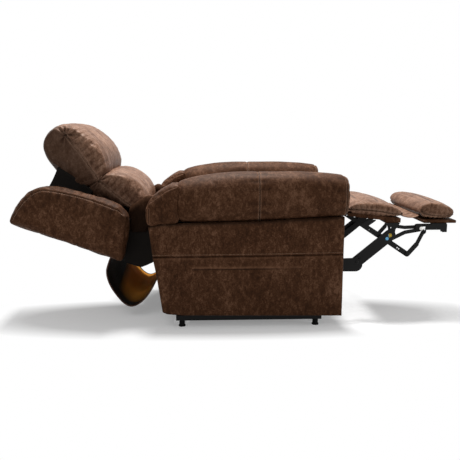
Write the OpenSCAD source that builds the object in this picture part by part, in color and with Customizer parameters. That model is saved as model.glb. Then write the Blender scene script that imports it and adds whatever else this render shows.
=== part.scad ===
// Powered lift recliner chair, fully reclined with the footrest out.
// +X points to the sitter's feet, +Y to the sitter's left, +Z up, the floor is Z = 0.

/* [Overall] */
// Half the distance between the crests of the two arm rolls
arm_crest_y = 355; // [340:1:390]
// Width of each padded arm roll
roll_w = 190; // [160:1:220]
// Height of the arm roll crest above the floor
arm_height = 690; // [650:1:780]
// Thickness of the padded outer side panel
panel_t = 25; // [15:1:35]
// Thickness of the padded inner side panel
inner_panel_t = 18; // [12:1:20]

/* [Seat] */
// Half width of the seat and of the lower back pillows
seat_half_w = 256; // [220:1:256]
// Crown height of the seat cushion above the floor
seat_height = 535; // [500:1:560]

/* [Back] */
// Length of the back from its pivot to the top of the frame
back_len = 640; // [600:1:720]
// Angle between the reclined back and the upright
back_tilt = 71; // [60:1:75]
// Thickness of each side wing of the back
wing_t = 106; // [60:1:120]
// Half width of the head pillow
head_half_w = 270; // [230:1:285]
// Forward tilt of the head pillow against the back
head_tilt = 20; // [10:1:24]

/* [Footrest] */
// Half width of the two footrest pads
pad_half_w = 240; // [200:1:244]
// Length of the front extension pad
extension_len = 164; // [120:1:180]
// Thickness of the steel link plates
link_t = 4; // [3:0.5:4]
// Free gap between neighbouring link plates
link_gap = 2; // [1.5:0.1:2]
// Radius of the link pins
pin_r = 6; // [4:0.5:7]

/* [Base] */
// Width of the square floor frame tube
tube_w = 26; // [20:1:30]
// Radius of each floor glide
glide_r = 15.5; // [12:0.5:20]
// Height of each floor glide
glide_h = 28; // [20:1:34]

/* [Fits] */
// Radial running clearance of every pin in its bore
pin_clear = 0.06; // [0.02:0.01:0.10]
// Seating gap between two pieces that lie against each other
seat_gap = 0.3; // [0.2:0.1:0.5]

/* [Hidden] */
$fn = 32;

leather = [0.31, 0.22, 0.18];
leather_light = [0.45, 0.33, 0.27];
black_steel = [0.07, 0.07, 0.08];
dark_cloth = [0.10, 0.08, 0.07];
timber = [0.66, 0.50, 0.33];

// Places of the pivots, as [x, z]
back_pivot = [-299, 427];
crank_pivot = [311, 343];
crank_end = [537, 263];
guide_foot = [509, 233.5];
ottoman_pivot = [687, 387];
guide_pivot = [664, 361];
prop_knee = [775, 295];
prop_pin = [845, 403];
slide_rivet = [832, 418];
lift_pivot = [-168, 60];
lift_top = [212, 75];
front_pivot = [-19, 65];
front_top = [287, 75];
lever_tube = [-100, 78];
lift_lever = [-140, 177];
lift_motor = [150, 68];
recline_lever = [-306, 347];
recline_motor = [34, 290];
foot_lever = [325, 275];
foot_motor = [-56, 335];
crank_tube = [311, 293];

// Link layers counted outward from the centre plane; each value is a layer's inner face
layer = link_t + link_gap;
guide_y = 234;
bracket_y = guide_y + layer;
prop_y = bracket_y + layer;
ottoman_y = prop_y + layer;
crank_y = ottoman_y + layer;
side_plate_y = crank_y + layer;
side_plate_t = 6;

// Arm layers
inner_y = 272;
arm_board_y = inner_y + inner_panel_t + seat_gap;
roll_out_y = arm_crest_y + roll_w / 2;
panel_out_y = roll_out_y - 20;
panel_in_y = panel_out_y - panel_t;
arm_frame_out_y = panel_in_y - seat_gap;
glide_y = arm_crest_y;
seam_rear = 469;
seam_mid = 477;
seam_front = 495;
roll_seam_x = 69;
panel_front_x = 436;
front_panel_t = 24;
front_x = panel_front_x - front_panel_t;

// ---------- helpers ----------
// Smoothed copy of a closed outline, each pass cutting its corners
function cut_corners(p, passes) = passes == 0 ? p :
    cut_corners([for (i = [0 : len(p) - 1], k = [0.22, 0.78])
        p[i] * (1 - k) + p[(i + 1) % len(p)] * k], passes - 1);

// Superellipse outline about a centre
function oval(a, b, n, power) = [for (i = [0 : n - 1])
    let (t = 360 * i / n, c = cos(t), s = sin(t))
    [a * sign(c) * pow(abs(c), 2 / power), b * sign(s) * pow(abs(s), 2 / power)]];

function turned(p, angle) = [for (q = p)
    [q[0] * cos(angle) + q[1] * sin(angle), q[1] * cos(angle) - q[0] * sin(angle)]];
function moved(p, by) = [for (q = p) q + by];
function middle(p) = [for (k = [0 : len(p[0]) - 1]) [for (q = p) q[k]] * [for (q = p) 1] / len(p)];

// Closed skin over a row of rings that have the same number of points
module skin(rings) {
    n = len(rings[0]);
    m = len(rings);
    points = concat([for (r = rings) each r], [middle(rings[0]), middle(rings[m - 1])]);
    faces = [
        for (k = [0 : m - 2], i = [0 : n - 1]) each [
            [k * n + i, (k + 1) * n + i, k * n + (i + 1) % n],
            [k * n + (i + 1) % n, (k + 1) * n + i, (k + 1) * n + (i + 1) % n]],
        for (i = [0 : n - 1]) [m * n, i, (i + 1) % n],
        for (i = [0 : n - 1]) [m * n + 1, (m - 1) * n + (i + 1) % n, (m - 1) * n + i]];
    polyhedron(points, faces, convexity = 6);
}

// Cushion with the section outline in X-Z, crowned in the middle and drawn in at its two sides.
// channels are sewn lines, as places between -1 and 1 across the half width
module cushion(outline, half_w, crown, draw, stations, channels = []) {
    c = middle(outline);
    rings = [for (j = [0 : stations])
        let (u = sin(90 * (2 * j / stations - 1)),
             near = [for (w = channels) abs(u - w)],
             dip = len(near) == 0 ? 0 : 0.05 * max(0, 1 - min(near) / 0.06),
             s = 1 - draw + draw * pow(1 - pow(abs(u), 4), 0.5) + crown * (1 - u * u) - crown - dip)
        [for (q = outline) [c[0] + (q[0] - c[0]) * s, half_w * u, c[1] + (q[1] - c[1]) * s]]];
    skin(rings);
}

module both_sides() {
    children();
    mirror([0, 1, 0]) children();
}

// Upright frame of the reclined back: X runs forward from the back, Z up along it
module on_back() {
    translate([back_pivot[0], 0, back_pivot[1]]) rotate([0, -back_tilt, 0]) children();
}

// Upright plate in X-Z whose inner face is at y
module plate(y, t) {
    translate([0, y + t, 0]) rotate([90, 0, 0]) linear_extrude(t) children();
}

// Bar with round ends from a to b
module bar_outline(a, b, r) {
    lean = atan2(b[1] - a[1], b[0] - a[0]);
    polygon(concat([for (t = [90 : 15 : 270]) a + r * [cos(t + lean), sin(t + lean)]],
                   [for (t = [-90 : 15 : 90]) b + r * [cos(t + lean), sin(t + lean)]]));
}

// Pin along Y from y0 to y1 at a pivot
module pin(at, r, y0, y1) {
    translate([at[0], y1, at[1]]) rotate([90, 0, 0]) cylinder(r = r, h = y1 - y0);
}

module box(x0, x1, y0, y1, z0, z1) {
    translate([x0, y0, z0]) cube([x1 - x0, y1 - y0, z1 - z0]);
}

// ---------- floor base ----------
base_z1 = glide_h + 22;
rail_y = glide_y - tube_w / 2;
glide_x = [-268, 332];
cross_x = [-281, -32, 137, 319];
// Lift layers, counted inward from the base rails
lift_arm_t = 5;
lift_inset = 7;
lift_gap = 2;
front_arm_gap = 3;
lift_plate_y = rail_y - lift_inset;
main_arm_y = lift_plate_y - lift_gap - lift_arm_t;
front_arm_y = main_arm_y - front_arm_gap - lift_arm_t;
front_ear_y = front_arm_y - front_arm_gap - 5;

module base_frame() color(black_steel) {
    both_sides() {
        difference() {
            box(-294, 358, rail_y, rail_y + tube_w, glide_h, base_z1);
            box(-292, 356, rail_y + 2, rail_y + tube_w - 2, glide_h + 2, base_z1 - 2);
        }
        // outer ear of the main lift arm and its pin
        box(lift_pivot[0] - 30, lift_pivot[0] + 30, lift_plate_y, rail_y, glide_h, base_z1);
        plate(lift_plate_y, 5) bar_outline([lift_pivot[0], 44], lift_pivot, 16);
        pin(lift_pivot, pin_r, main_arm_y - 1, lift_plate_y + 1);
        // inner ear of the front lift arm and its pin
        plate(front_ear_y, 5) bar_outline([front_pivot[0], 44], front_pivot, 14);
        pin(front_pivot, pin_r, front_ear_y + 1, front_arm_y + lift_arm_t + 1);
    }
    for (x = cross_x) box(x, x + tube_w, -rail_y, rail_y, glide_h, base_z1);
    // clevis of the lift actuator
    for (s = [-1, 1]) plate(s * 15 - 2.5, 5) bar_outline([lift_motor[0], 46], lift_motor, 13);
    pin(lift_motor, 5, -16, 16);
}

bumper_top = 62 - seat_gap;
module rest_bumpers() color([0.05, 0.05, 0.05])
    both_sides() for (x = [-240, 290])
        translate([x, glide_y, base_z1]) cylinder(r = 10, h = bumper_top - base_z1);

module floor_glides() color(black_steel)
    both_sides() for (x = glide_x) translate([x, glide_y, 0]) {
        cylinder(r = glide_r, h = 6);
        translate([0, 0, 6]) cylinder(r = glide_r - 3, h = glide_h - 6);
    }

// ---------- lift linkage ----------
module main_lift_arms() color(black_steel) {
    both_sides() difference() {
        union() {
            plate(main_arm_y, lift_arm_t) bar_outline(lift_pivot, lift_top, 13);
            plate(main_arm_y, lift_arm_t) bar_outline(lift_pivot, lever_tube, 13.5);
        }
        pin(lift_pivot, pin_r + pin_clear, main_arm_y - 1, main_arm_y + lift_arm_t + 1);
        pin(lift_top, pin_r + pin_clear, main_arm_y - 1, main_arm_y + lift_arm_t + 1);
    }
    // torsion tube, open in the middle where the actuator's rod passes
    both_sides() pin(lever_tube, 13, 13, main_arm_y + 1);
    for (s = [-1, 1]) plate(s * 15 - 2.5, 5) bar_outline(lever_tube, lift_lever, 14);
    pin(lift_lever, 5, -16, 16);
}

front_open = 3.8;
module front_lift_arms() color(black_steel)
    both_sides() difference() {
        plate(front_arm_y, lift_arm_t) bar_outline(front_pivot, front_top, 13);
        pin(front_pivot, pin_r + pin_clear, front_arm_y - 1, front_arm_y + lift_arm_t + 1);
        pin(front_top, pin_r + front_open, front_arm_y - 1, front_arm_y + lift_arm_t + 1);
    }

module scale_z(side) mirror([0, 0, side < 0 ? 1 : 0]) children();

// Linear actuator: motor body and sleeve from its tail pivot towards the lever
module actuator_body(tail, head, y, tail_hole, body_len, motor_side) {
    d = head - tail;
    translate([tail[0], y, tail[1]]) rotate([0, -atan2(d[1], d[0]), 0]) difference() {
        union() {
            rotate([90, 0, 0]) cylinder(r = 11, h = 22, center = true);
            box(6, 40, -10, 10, -10, 10);
            translate([38, 0, 0]) rotate([0, 90, 0]) cylinder(r = 18, h = body_len - 38);
            scale_z(motor_side) box(38, 108, -17, 17, 4, 44);
        }
        rotate([90, 0, 0]) cylinder(r = tail_hole, h = 30, center = true);
        translate([60, 0, 0]) rotate([0, 90, 0]) cylinder(r = 12.5, h = body_len);
    }
}

// Piston rod with a ring eye that is open enough to follow its lever
module actuator_rod(tail, head, y, rod_from, eye_r, ring_t) {
    d = head - tail;
    reach = norm(d);
    translate([tail[0], y, tail[1]]) rotate([0, -atan2(d[1], d[0]), 0]) {
        translate([rod_from, 0, 0]) rotate([0, 90, 0])
            cylinder(r = 9, h = reach - eye_r - ring_t / 2 - rod_from);
        translate([rod_from, 0, 0]) rotate([0, 90, 0]) cylinder(r = 12.4, h = 30);
        translate([reach, 6, 0]) rotate([90, 0, 0]) difference() {
            cylinder(r = eye_r + ring_t, h = 12);
            translate([0, 0, -1]) cylinder(r = eye_r, h = 14);
        }
    }
}

lift_eye = 15;
recline_eye = 16;
foot_eye = 24;
foot_lane_y = -90;

module lift_actuator() color([0.16, 0.16, 0.17])
    actuator_body(lift_motor, lift_lever, 0, 5 + pin_clear, 175, -1);
module lift_rod() color([0.72, 0.73, 0.75])
    actuator_rod(lift_motor, lift_lever, 0, 70, lift_eye, 5);

module recline_actuator() color([0.16, 0.16, 0.17])
    actuator_body(recline_motor, recline_lever, 0, 5 + pin_clear, 240, 1);
module recline_rod() color([0.72, 0.73, 0.75])
    actuator_rod(recline_motor, recline_lever, 0, 130, recline_eye, 5);

module footrest_actuator() color([0.16, 0.16, 0.17])
    actuator_body(foot_motor, foot_lever, foot_lane_y, 5 + pin_clear, 240, -1);
module footrest_rod() color([0.72, 0.73, 0.75])
    actuator_rod(foot_motor, foot_lever, foot_lane_y, 160, foot_eye, 6);

// ---------- lifted chassis ----------
chassis_z0 = 62;
chassis_z1 = 92;
chassis_y = lift_plate_y + 6;
module lift_frame() color(black_steel) {
    both_sides() {
        difference() {
            box(-334, 396, chassis_y, chassis_y + 30, chassis_z0, chassis_z1);
            box(-332, 394, chassis_y + 2, chassis_y + 28, chassis_z0 + 2, chassis_z1 - 2);
        }
        // brackets and pins for the upper ends of the lift arms
        for (at = [lift_top, front_top])
            plate(lift_plate_y, 6) bar_outline([at[0] + 6, 76], at, 14);
        pin(lift_top, pin_r, main_arm_y - 1, lift_plate_y + 1);
        pin(front_top, pin_r, front_arm_y - 1, lift_plate_y + 1);
    }
    box(-334, -304, -chassis_y, chassis_y, chassis_z0, chassis_z1);
}

rail_z0 = 340;
rail_z1 = 392;
seat_cross = [-190, -66, 24, 214];
frame_bolts = [-210, -80, 50, 180, 370];
module seat_frame() color(black_steel) {
    both_sides() {
        plate(side_plate_y, side_plate_t) {
            translate([-326, rail_z0]) square([726, rail_z1 - rail_z0]);
            bar_outline([back_pivot[0], 366], back_pivot, 24);
            bar_outline([crank_pivot[0], 360], crank_pivot, 24);
        }
        pin(back_pivot, 8, 236, side_plate_y + 1);
        pin(crank_pivot, pin_r, crank_y - 1, side_plate_y + 1);
        // bolts into the arms, with their heads inside
        for (x = frame_bolts) {
            pin([x, 366], 4.2, side_plate_y - 2, inner_y - seat_gap);
            pin([x, 366], 7, side_plate_y - 4, side_plate_y);
        }
    }
    for (x = seat_cross) box(x, x + 20, -side_plate_y, side_plate_y, rail_z1 - 20, rail_z1);
    // clevises of the recline and footrest actuators, under the cross tubes
    for (s = [-1, 1]) {
        plate(s * 15 - 2.5, 5) bar_outline(recline_motor, [recline_motor[0], 380], 9);
        plate(foot_lane_y + s * 15 - 2.5, 5) bar_outline(foot_motor, [foot_motor[0], 380], 9);
    }
    pin(recline_motor, 5, -16, 16);
    pin(foot_motor, 5, foot_lane_y - 16, foot_lane_y + 16);
}

module seat_webbing() color([0.20, 0.19, 0.18])
    for (k = [-2.5 : 1 : 2.5])
        box(-228, 352, k * 84 - 26, k * 84 + 26, rail_z1 + 0.1, rail_z1 + 2.6);

seat_bottom = rail_z1 + 2.6 + seat_gap;
seat_top = seat_height;
seat_outline = [[-288, seat_bottom], [-290, 422], [-240, 432], [-200, 462], [-182, seat_top - 22],
                [-110, seat_top - 2], [60, seat_top], [250, seat_top], [395, seat_top - 5],
                [428, seat_top - 18], [426, 504], [392, 488], [368, 440], [352, seat_bottom]];
module seat_cushion() color(leather_light)
    cushion(cut_corners(seat_outline, 1), seat_half_w, 0.02, 0.10, 16, []);

// ---------- arms ----------
frame_x0 = -330;
frame_x1 = front_x - seat_gap;
frame_z0 = chassis_z1 + seat_gap;
arm_post = 30;
board_t = 18;
module arm_frame() color(timber) {
    // plywood side board with three windows
    difference() {
        box(frame_x0, frame_x1, arm_board_y, arm_board_y + board_t, 150, seam_rear - 3);
        for (x = [-270, -50, 170]) box(x, x + 180, 0, 400, 210, 370);
    }
    for (x = [frame_x0, 20, frame_x1 - arm_post])
        box(x, x + arm_post, arm_board_y + board_t, arm_frame_out_y, frame_z0, seam_rear - 10);
    box(frame_x0, frame_x1, arm_board_y + board_t, arm_frame_out_y, frame_z0, frame_z0 + arm_post);
    // top rail that follows the seam under the roll
    plate(arm_board_y + board_t, arm_frame_out_y - arm_board_y - board_t)
        polygon([[frame_x0, seam_rear - 30], [frame_x1, seam_rear - 30], [frame_x1, roll_foot(frame_x1) - seat_gap],
                 [30, roll_foot(30) - seat_gap], [frame_x0, roll_foot(frame_x0) - seat_gap]]);
}

module inner_panel() color(leather)
    box(-300, front_x - seat_gap, inner_y, inner_y + inner_panel_t, 150, seam_rear - 3);

module outer_panel() color(leather)
    plate(panel_in_y, panel_t)
        polygon([[-385, 441], [-387, 329], [-372, 245], [-349, 85], [-330, 76], [-259, 70],
                 [panel_front_x, 60], [panel_front_x, seam_front], [30, seam_mid], [-350, seam_rear]]);

module front_panel() color(leather)
    box(front_x, panel_front_x, inner_y, panel_in_y - seat_gap, 64, seam_front - 4);

// Lower seam height of the roll along X
function roll_foot(x) = x < 30 ? seam_rear + (x + 350) / 380 * (seam_mid - seam_rear)
                               : seam_mid + (x - 30) / 406 * (seam_front - seam_mid);
function roll_top(x) = arm_height - 27 * pow(max(0, 40 - x) / 300, 2) - 12 * pow(max(0, x - 200) / 230, 2);
roll_stations = [[-290, 0.55], [-281, 0.80], [-262, 0.92], [-200, 0.98], [-80, 1], [50, 1],
                 [roll_seam_x, 0.965], [88, 1], [220, 1], [360, 0.995], [420, 0.96], [446, 0.85], [460, 0.60]];
module arm_roll() color(leather)
    skin([for (st = roll_stations)
        let (x = st[0], s = st[1], z0 = roll_foot(x) + seat_gap, h = (roll_top(x) - z0) / 2)
        [for (q = oval(roll_w / 2 * s, h * s, 20, 2.5)) [x, arm_crest_y + q[0], z0 + h + q[1]]]]);

module rear_wedge() color(leather)
    translate([0, arm_crest_y, 0])
        cushion(cut_corners([[-408, 462], [-413, 470], [-413, 530], [-394, 549], [-305, 616], [-292.5, 612],
                             [-292.5, 471], [-388, 469.2], [-392, 460]], 1), roll_w / 2 - 6, 0, 0.04, 6);

module right() mirror([0, 1, 0]) children();
module right_arm_frame() right() arm_frame();
module right_inner_panel() right() inner_panel();
module right_outer_panel() right() outer_panel();
module right_front_panel() right() front_panel();
module right_arm_roll() right() arm_roll();
module right_rear_wedge() right() rear_wedge();
module left_arm_frame() arm_frame();
module left_inner_panel() inner_panel();
module left_outer_panel() outer_panel();
module left_front_panel() front_panel();
module left_arm_roll() arm_roll();
module left_rear_wedge() rear_wedge();

// ---------- controls ----------
module control_box() color([0.09, 0.09, 0.10]) {
    box(-232, -92, 70, 200, 316, 352);
    for (x = [-190, -66]) box(x + 1, x + 19, 100, 118, x == -190 ? 352 : 346, rail_z1 - 20 - 0.1);
    box(-92, -47, 100, 118, 340, 346);
}

hand_x = 250;
hand_z = 330;
hand_y = panel_out_y + 6;
hand_t = 22;
module handset_holster() color(dark_cloth)
    difference() {
        box(hand_x - 36, hand_x + 36, panel_out_y + 0.1, hand_y + hand_t + 5, hand_z - 4, hand_z + 80);
        box(hand_x - 31, hand_x + 31, hand_y - 1, hand_y + hand_t + 1, hand_z, hand_z + 90);
    }

button_travel = 1.5;
button_places = [[-13, 138], [13, 138], [-13, 112], [13, 112]];
module hand_control() color([0.13, 0.13, 0.14])
    difference() {
        hull() for (x = [-20, 20], z = [10, 145])
            translate([hand_x + x, hand_y + hand_t, hand_z + z + 0.2]) rotate([90, 0, 0]) cylinder(r = 10, h = hand_t);
        for (p = button_places)
            pin([hand_x + p[0], hand_z + p[1]], 8.3, hand_y + hand_t - 6, hand_y + hand_t + 1);
        // cord socket in the lower end
        translate([hand_x, hand_y + hand_t / 2, hand_z - 2]) cylinder(r = 3.5, h = 14);
    }

module hand_button(k) color([0.55, 0.56, 0.58])
    pin([hand_x + button_places[k][0], hand_z + button_places[k][1]], 8,
        hand_y + hand_t - 6 + button_travel + 0.3, hand_y + hand_t + 2.2);
module lift_up_button() hand_button(0);
module lift_down_button() hand_button(1);
module back_button() hand_button(2);
module footrest_button() hand_button(3);

// ---------- back ----------
stile_y0 = 228;
stile_y1 = 250;
stile_v0 = -60;
stile_v1 = -20;
back_rails = [44, 352, 600];
head_hinge_y = [-150, 150];
web_strips = [96, 166, 236, 306, 410, 480, 550];
head_hinge = [2, 398];
module back_frame() color(timber) on_back() {
    both_sides() difference() {
        union() {
            box(stile_v0, stile_v1, stile_y0, stile_y1, -24, back_len);
            plate(stile_y0, stile_y1 - stile_y0) bar_outline([-40, 0], [0, 0], 20);
            // outrigger that carries the side wing
            for (u = [200, 560]) box(stile_v0, stile_v1, stile_y1, 292, u, u + 40);
        }
        pin([0, 0], 8 + pin_clear, 200, 260);
    }
    for (u = back_rails) box(stile_v0, stile_v1, -stile_y0, stile_y0, u, u + 38);
    // lever that the recline actuator pushes, from the lowest rail
    for (s = [-1, 1]) plate(s * 15 - 2.5, 5) bar_outline([-72, 58], lever_local, 14);
    translate([lever_local[0], 16, lever_local[1]]) rotate([90, 0, 0]) cylinder(r = 5, h = 32);
    // hinge ears of the headrest
    for (y = head_hinge_y) plate(y + 22, 6) difference() {
        bar_outline([head_hinge[0] - 40, 384], head_hinge, 10);
        translate(head_hinge) circle(5 + pin_clear);
    }
}
lever_d = recline_lever - back_pivot;
lever_local = [lever_d[0] * cos(back_tilt) + lever_d[1] * sin(back_tilt),
               lever_d[1] * cos(back_tilt) - lever_d[0] * sin(back_tilt)];

module back_webbing() color([0.20, 0.19, 0.18]) on_back()
    for (u = web_strips) box(stile_v1 + 0.1, stile_v1 + 2.6, -stile_y1, stile_y1, u, u + 50);

module back_outer_panel() color(leather) on_back()
    box(-190, -178, -291.5, 291.5, 176, 668);

wing_outline = [[-168, 679], [-65, 656], [2, 611], [23, 553], [42, 392], [33, 211], [-69, 193],
                [-183, 171], [-190, 228], [-184, 666]];
module wing() color(leather) on_back()
    translate([0, 292.3 + wing_t / 2, 0])
        cushion(cut_corners(wing_outline, 1), wing_t / 2, 0, 0.07, 8);
module left_wing() wing();
module right_wing() right() wing();

// Upholstered shell round the lower end of the back, open towards the seat
module lower_back_cover() color(dark_cloth) on_back()
    difference() {
        plate(-256, 512) polygon([[-62, -34], [-20, -34], [-20, 175.7], [-190, 175.7],
                                  [-221, 165], [-221, 89], [-183, 48]]);
        plate(-251, 502) polygon([[-70, -60], [0, -60], [0, 300], [-183, 300], [-184, 171],
                                  [-215, 163], [-215, 91], [-180, 54]]);
        plate(-300, 600) polygon([[-66, -40], [60, -40], [60, 300], [-66, 300]]);
        // slot that the recline lever and its rod pass through
        box(-150, -60, -34, 34, -60, 70);
    }

module lumbar_pillow() color(leather_light) on_back()
    cushion(moved(turned(oval(86, 106, 22, 2.3), 16), [72.6, 267]), seat_half_w, 0.03, 0.17, 16, [-0.36, 0.36]);
module lower_pillow() color(leather_light) on_back()
    cushion(moved(turned(oval(58, 70, 20, 2.3), 6), [39.2, 82]), seat_half_w - 1, 0.03, 0.17, 14, [-0.36, 0.36]);

// ---------- headrest ----------
head_thick = 106;
head_tall = 146;
head_centre = [10 + seat_gap + head_thick, 174];
module headrest_plate() color(timber) on_back() {
    translate([head_hinge[0], 0, head_hinge[1]]) rotate([0, head_tilt, 0]) {
        box(2, 10, -236, 236, 14, 250);
        // hinge knuckles and their pins
        for (y = head_hinge_y) {
            box(-6, 3, y - 14, y + 14, 6, 60);
            translate([0, y + 14, 0]) rotate([90, 0, 0]) cylinder(r = 10, h = 28);
            translate([0, y + 29, 0]) rotate([90, 0, 0]) cylinder(r = 5, h = 20);
        }
    }
}
module head_pillow() color(leather_light) on_back()
    translate([head_hinge[0], 0, head_hinge[1]]) rotate([0, head_tilt, 0])
        cushion(moved(oval(head_thick, head_tall, 24, 2.25), head_centre), head_half_w, 0.04, 0.18, 18,
                [-0.36, 0.36]);

// ---------- hanging back skirt ----------
skirt_path = [[-581, 322], [-604, 272], [-619, 223], [-601, 160], [-568, 110], [-536, 74], [-506, 60],
              [-470, 72], [-438, 100], [-410, 140], [-390, 179], [-368, 220]];
skirt_t = 3;
module back_skirt() color(dark_cloth) {
    n = len(skirt_path);
    normals = [for (i = [0 : n - 1])
        let (d = skirt_path[min(n - 1, i + 1)] - skirt_path[max(0, i - 1)]) [-d[1], d[0]] / norm(d)];
    section = concat([for (i = [0 : n - 1]) skirt_path[i] + normals[i] * skirt_t / 2],
                     [for (i = [n - 1 : -1 : 0]) skirt_path[i] - normals[i] * skirt_t / 2]);
    plate(-seat_half_w + 2, 2 * seat_half_w - 4) polygon(section);
}

// ---------- footrest ----------
module footrest_cranks() color(black_steel) {
    both_sides() difference() {
        plate(crank_y, link_t) {
            bar_outline(crank_pivot, crank_tube, 22);
            hull() {
                translate([316, 300]) circle(24);
                translate([424, 250]) circle(30);
            }
            hull() {
                translate([424, 250]) circle(30);
                translate([crank_end[0] - 6, crank_end[1] - 12]) circle(32);
            }
            translate(crank_end) circle(24);
        }
        pin(crank_pivot, pin_r + pin_clear, crank_y - 1, crank_y + link_t + 1);
        pin([546, 278.5], 3.6, crank_y - 1, crank_y + link_t + 1);
    }
    both_sides() {
        pin([crank_end[0], crank_end[1]], pin_r, ottoman_y - 0.8, crank_y + 1);
        pin(guide_foot, pin_r, guide_y - 0.8, crank_y + 1);
    }
    // torsion tube, open where the actuator's eye passes, with a crank throw there
    pin(crank_tube, 11, -crank_y - 1, foot_lane_y - 11);
    pin(crank_tube, 11, foot_lane_y + 11, crank_y + 1);
    for (s = [-1, 1]) plate(foot_lane_y + s * 13 - 2.5, 5) bar_outline(crank_tube, foot_lever, 12);
    pin(foot_lever, 5, foot_lane_y - 14, foot_lane_y + 14);
}

module ottoman_links() color(black_steel)
    both_sides() difference() {
        plate(ottoman_y, link_t) bar_outline(crank_end, ottoman_pivot, 27);
        pin(crank_end, pin_r + pin_clear, ottoman_y - 1, ottoman_y + link_t + 1);
        pin(ottoman_pivot, pin_r + pin_clear, ottoman_y - 1, ottoman_y + link_t + 1);
        pin([546, 278.5], 3.6, ottoman_y - 1, ottoman_y + link_t + 1);
    }

blue_at = [674, 372];
module link_bushes() both_sides() {
    color([0.85, 0.70, 0.10]) difference() {
        pin(ottoman_pivot, 8.5, ottoman_y + link_t, ottoman_y + link_t + 3);
        pin(ottoman_pivot, pin_r + 0.5, ottoman_y, ottoman_y + link_t + 4);
    }
    color([0.35, 0.68, 0.90]) pin(blue_at, 7.5, ottoman_y + link_t, ottoman_y + link_t + 3);
}

guide_open = 2.4;
module guide_links() color(black_steel)
    both_sides() difference() {
        plate(guide_y, link_t) bar_outline(guide_foot, guide_pivot, 13);
        pin(guide_foot, pin_r + guide_open, guide_y - 1, guide_y + link_t + 1);
        pin(guide_pivot, pin_r + pin_clear, guide_y - 1, guide_y + link_t + 1);
    }

cross_left = [569, 430];
strap_holes = [[596, 412], [604, 407], [728, 326], [736, 320]];
board_z = 442;
module ottoman_brackets() color(black_steel)
    both_sides() {
        difference() {
            plate(bracket_y, link_t) {
                bar_outline(cross_left, [690, 352], 12);
                bar_outline([690, 352], prop_knee, 12);
                bar_outline(cross_left, [612, 460], 12);
                polygon([[674, board_z - 0.3], [736, board_z - 0.3], [716, 412], [712, 380], [692, 344],
                         [650, 365], [682, 412]]);
                bar_outline([724, 426], [758, 421], 8);
                bar_outline([758, 421], [slide_rivet[0] - 2, 424], 8);
                bar_outline([700, 368], [760, 398], 8.5);
                bar_outline([760, 398], [slide_rivet[0] - 2, 410], 8.5);
            }
            for (h = strap_holes) pin(h, 3, bracket_y - 1, bracket_y + link_t + 1);
            pin([694, 420], 2.6, bracket_y - 1, bracket_y + link_t + 1);
            box(560, 700, 0, 300, board_under_rear, 500);
        }
        // pins that carry the two links, the prop and the board screws
        pin(ottoman_pivot, pin_r, bracket_y, ottoman_y + link_t + 2);
        pin(guide_pivot, pin_r, guide_y - 0.8, bracket_y + 1);
        pin(prop_knee, pin_r, bracket_y + 1, prop_y + link_t + 1);
        // pin that the extension rail slides on
        pin(slide_rivet, 5, guide_y - 1, bracket_y + 1);
        // flange under the board
        box(676, 734, bracket_y - 26, bracket_y + link_t, board_z - 4.3, board_z - 0.3);
    }
board_under_rear = 457.5;

module ottoman_board() color(leather)
    plate(-pad_half_w + 8, 2 * (pad_half_w - 8))
        polygon([[498, 474], [498, 488.6], [560, 484], [650, 473], [742, 462.2], [742, board_z],
                 [668, board_z], [664, 454], [606, 460]]);

module ottoman_pad() color(leather_light)
    cushion(cut_corners([[490, 490], [560, 485], [650, 474], [744, 462.5], [758, 478], [735, 508], [670, 536],
                         [590, 548], [510, 544], [486, 518]], 1), pad_half_w, 0.04, 0.14, 14, []);

module guide_rivets() color([0.80, 0.80, 0.82])
    both_sides() pin(slide_rivet, 9, ottoman_y + link_t, ottoman_y + link_t + 2.5);

module footrest_flap() color(leather_light)
    plate(-pad_half_w + 14, 2 * (pad_half_w - 14))
        polygon([[751.5, 469.5], [775, 463], [795, 461], [815, 465], [829.4, 472], [829.4, 475], [814, 468.5],
                 [795, 464.5], [776, 466.5], [754.5, 472.5]]);

// ---------- footrest extension ----------
ext_x0 = 829;
ext_x1 = ext_x0 + extension_len;
rail_half = 6.5;
module rail_outline() {
    bar_outline([818, 424], [936, 424], 13);
    translate([930, 400]) square([22, 37]);
    translate([818, 411]) square([118, 26]);
}
module extension_rails() color(black_steel)
    both_sides() {
        // inner guide flange with the long slot for the rivet
        difference() {
            plate(guide_y, link_t) rail_outline();
            plate(guide_y - 1, link_t + 2) bar_outline(slide_rivet, slide_rivet + [73, 0], 5.4);
        }
        // outer flange with the upright slot for the prop pin
        difference() {
            plate(ottoman_y, link_t) {
                rail_outline();
                bar_outline([prop_pin[0], 402], [prop_pin[0], 420], 10.5);
            }
            plate(ottoman_y - 1, link_t + 2) bar_outline([prop_pin[0], 402], [prop_pin[0], 425], rail_half);
        }
        // web that joins the two flanges under the board
        box(880, 950, guide_y, ottoman_y + link_t, 437, 441);
        box(936, 950, guide_y, ottoman_y + link_t, 404, 441);
    }

module extension_board() color(leather)
    box(844, ext_x1 + 3, 1 - ottoman_y, ottoman_y - 1, 441.3, 455);

module extension_pad() color(leather_light)
    translate([ext_x0, 0, 0])
        cushion(cut_corners([[2, 468], [14, 455.5], [extension_len - 8, 455.5], [extension_len + 1, 474],
                             [extension_len - 8, 508], [extension_len - 52, 535], [70, 548], [22, 546],
                             [-3, 518]], 1), pad_half_w, 0.03, 0.12, 14, []);

module prop_links() color(black_steel)
    both_sides() {
        difference() {
            plate(prop_y, link_t) {
                bar_outline(prop_knee, [816, 342], 10.5);
                bar_outline([816, 342], prop_pin, 8.5);
            }
            pin(prop_knee, pin_r + pin_clear, prop_y - 1, prop_y + link_t + 1);
        }
        pin(prop_pin, 4.5, prop_y + 1, ottoman_y + link_t);
    }

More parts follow.
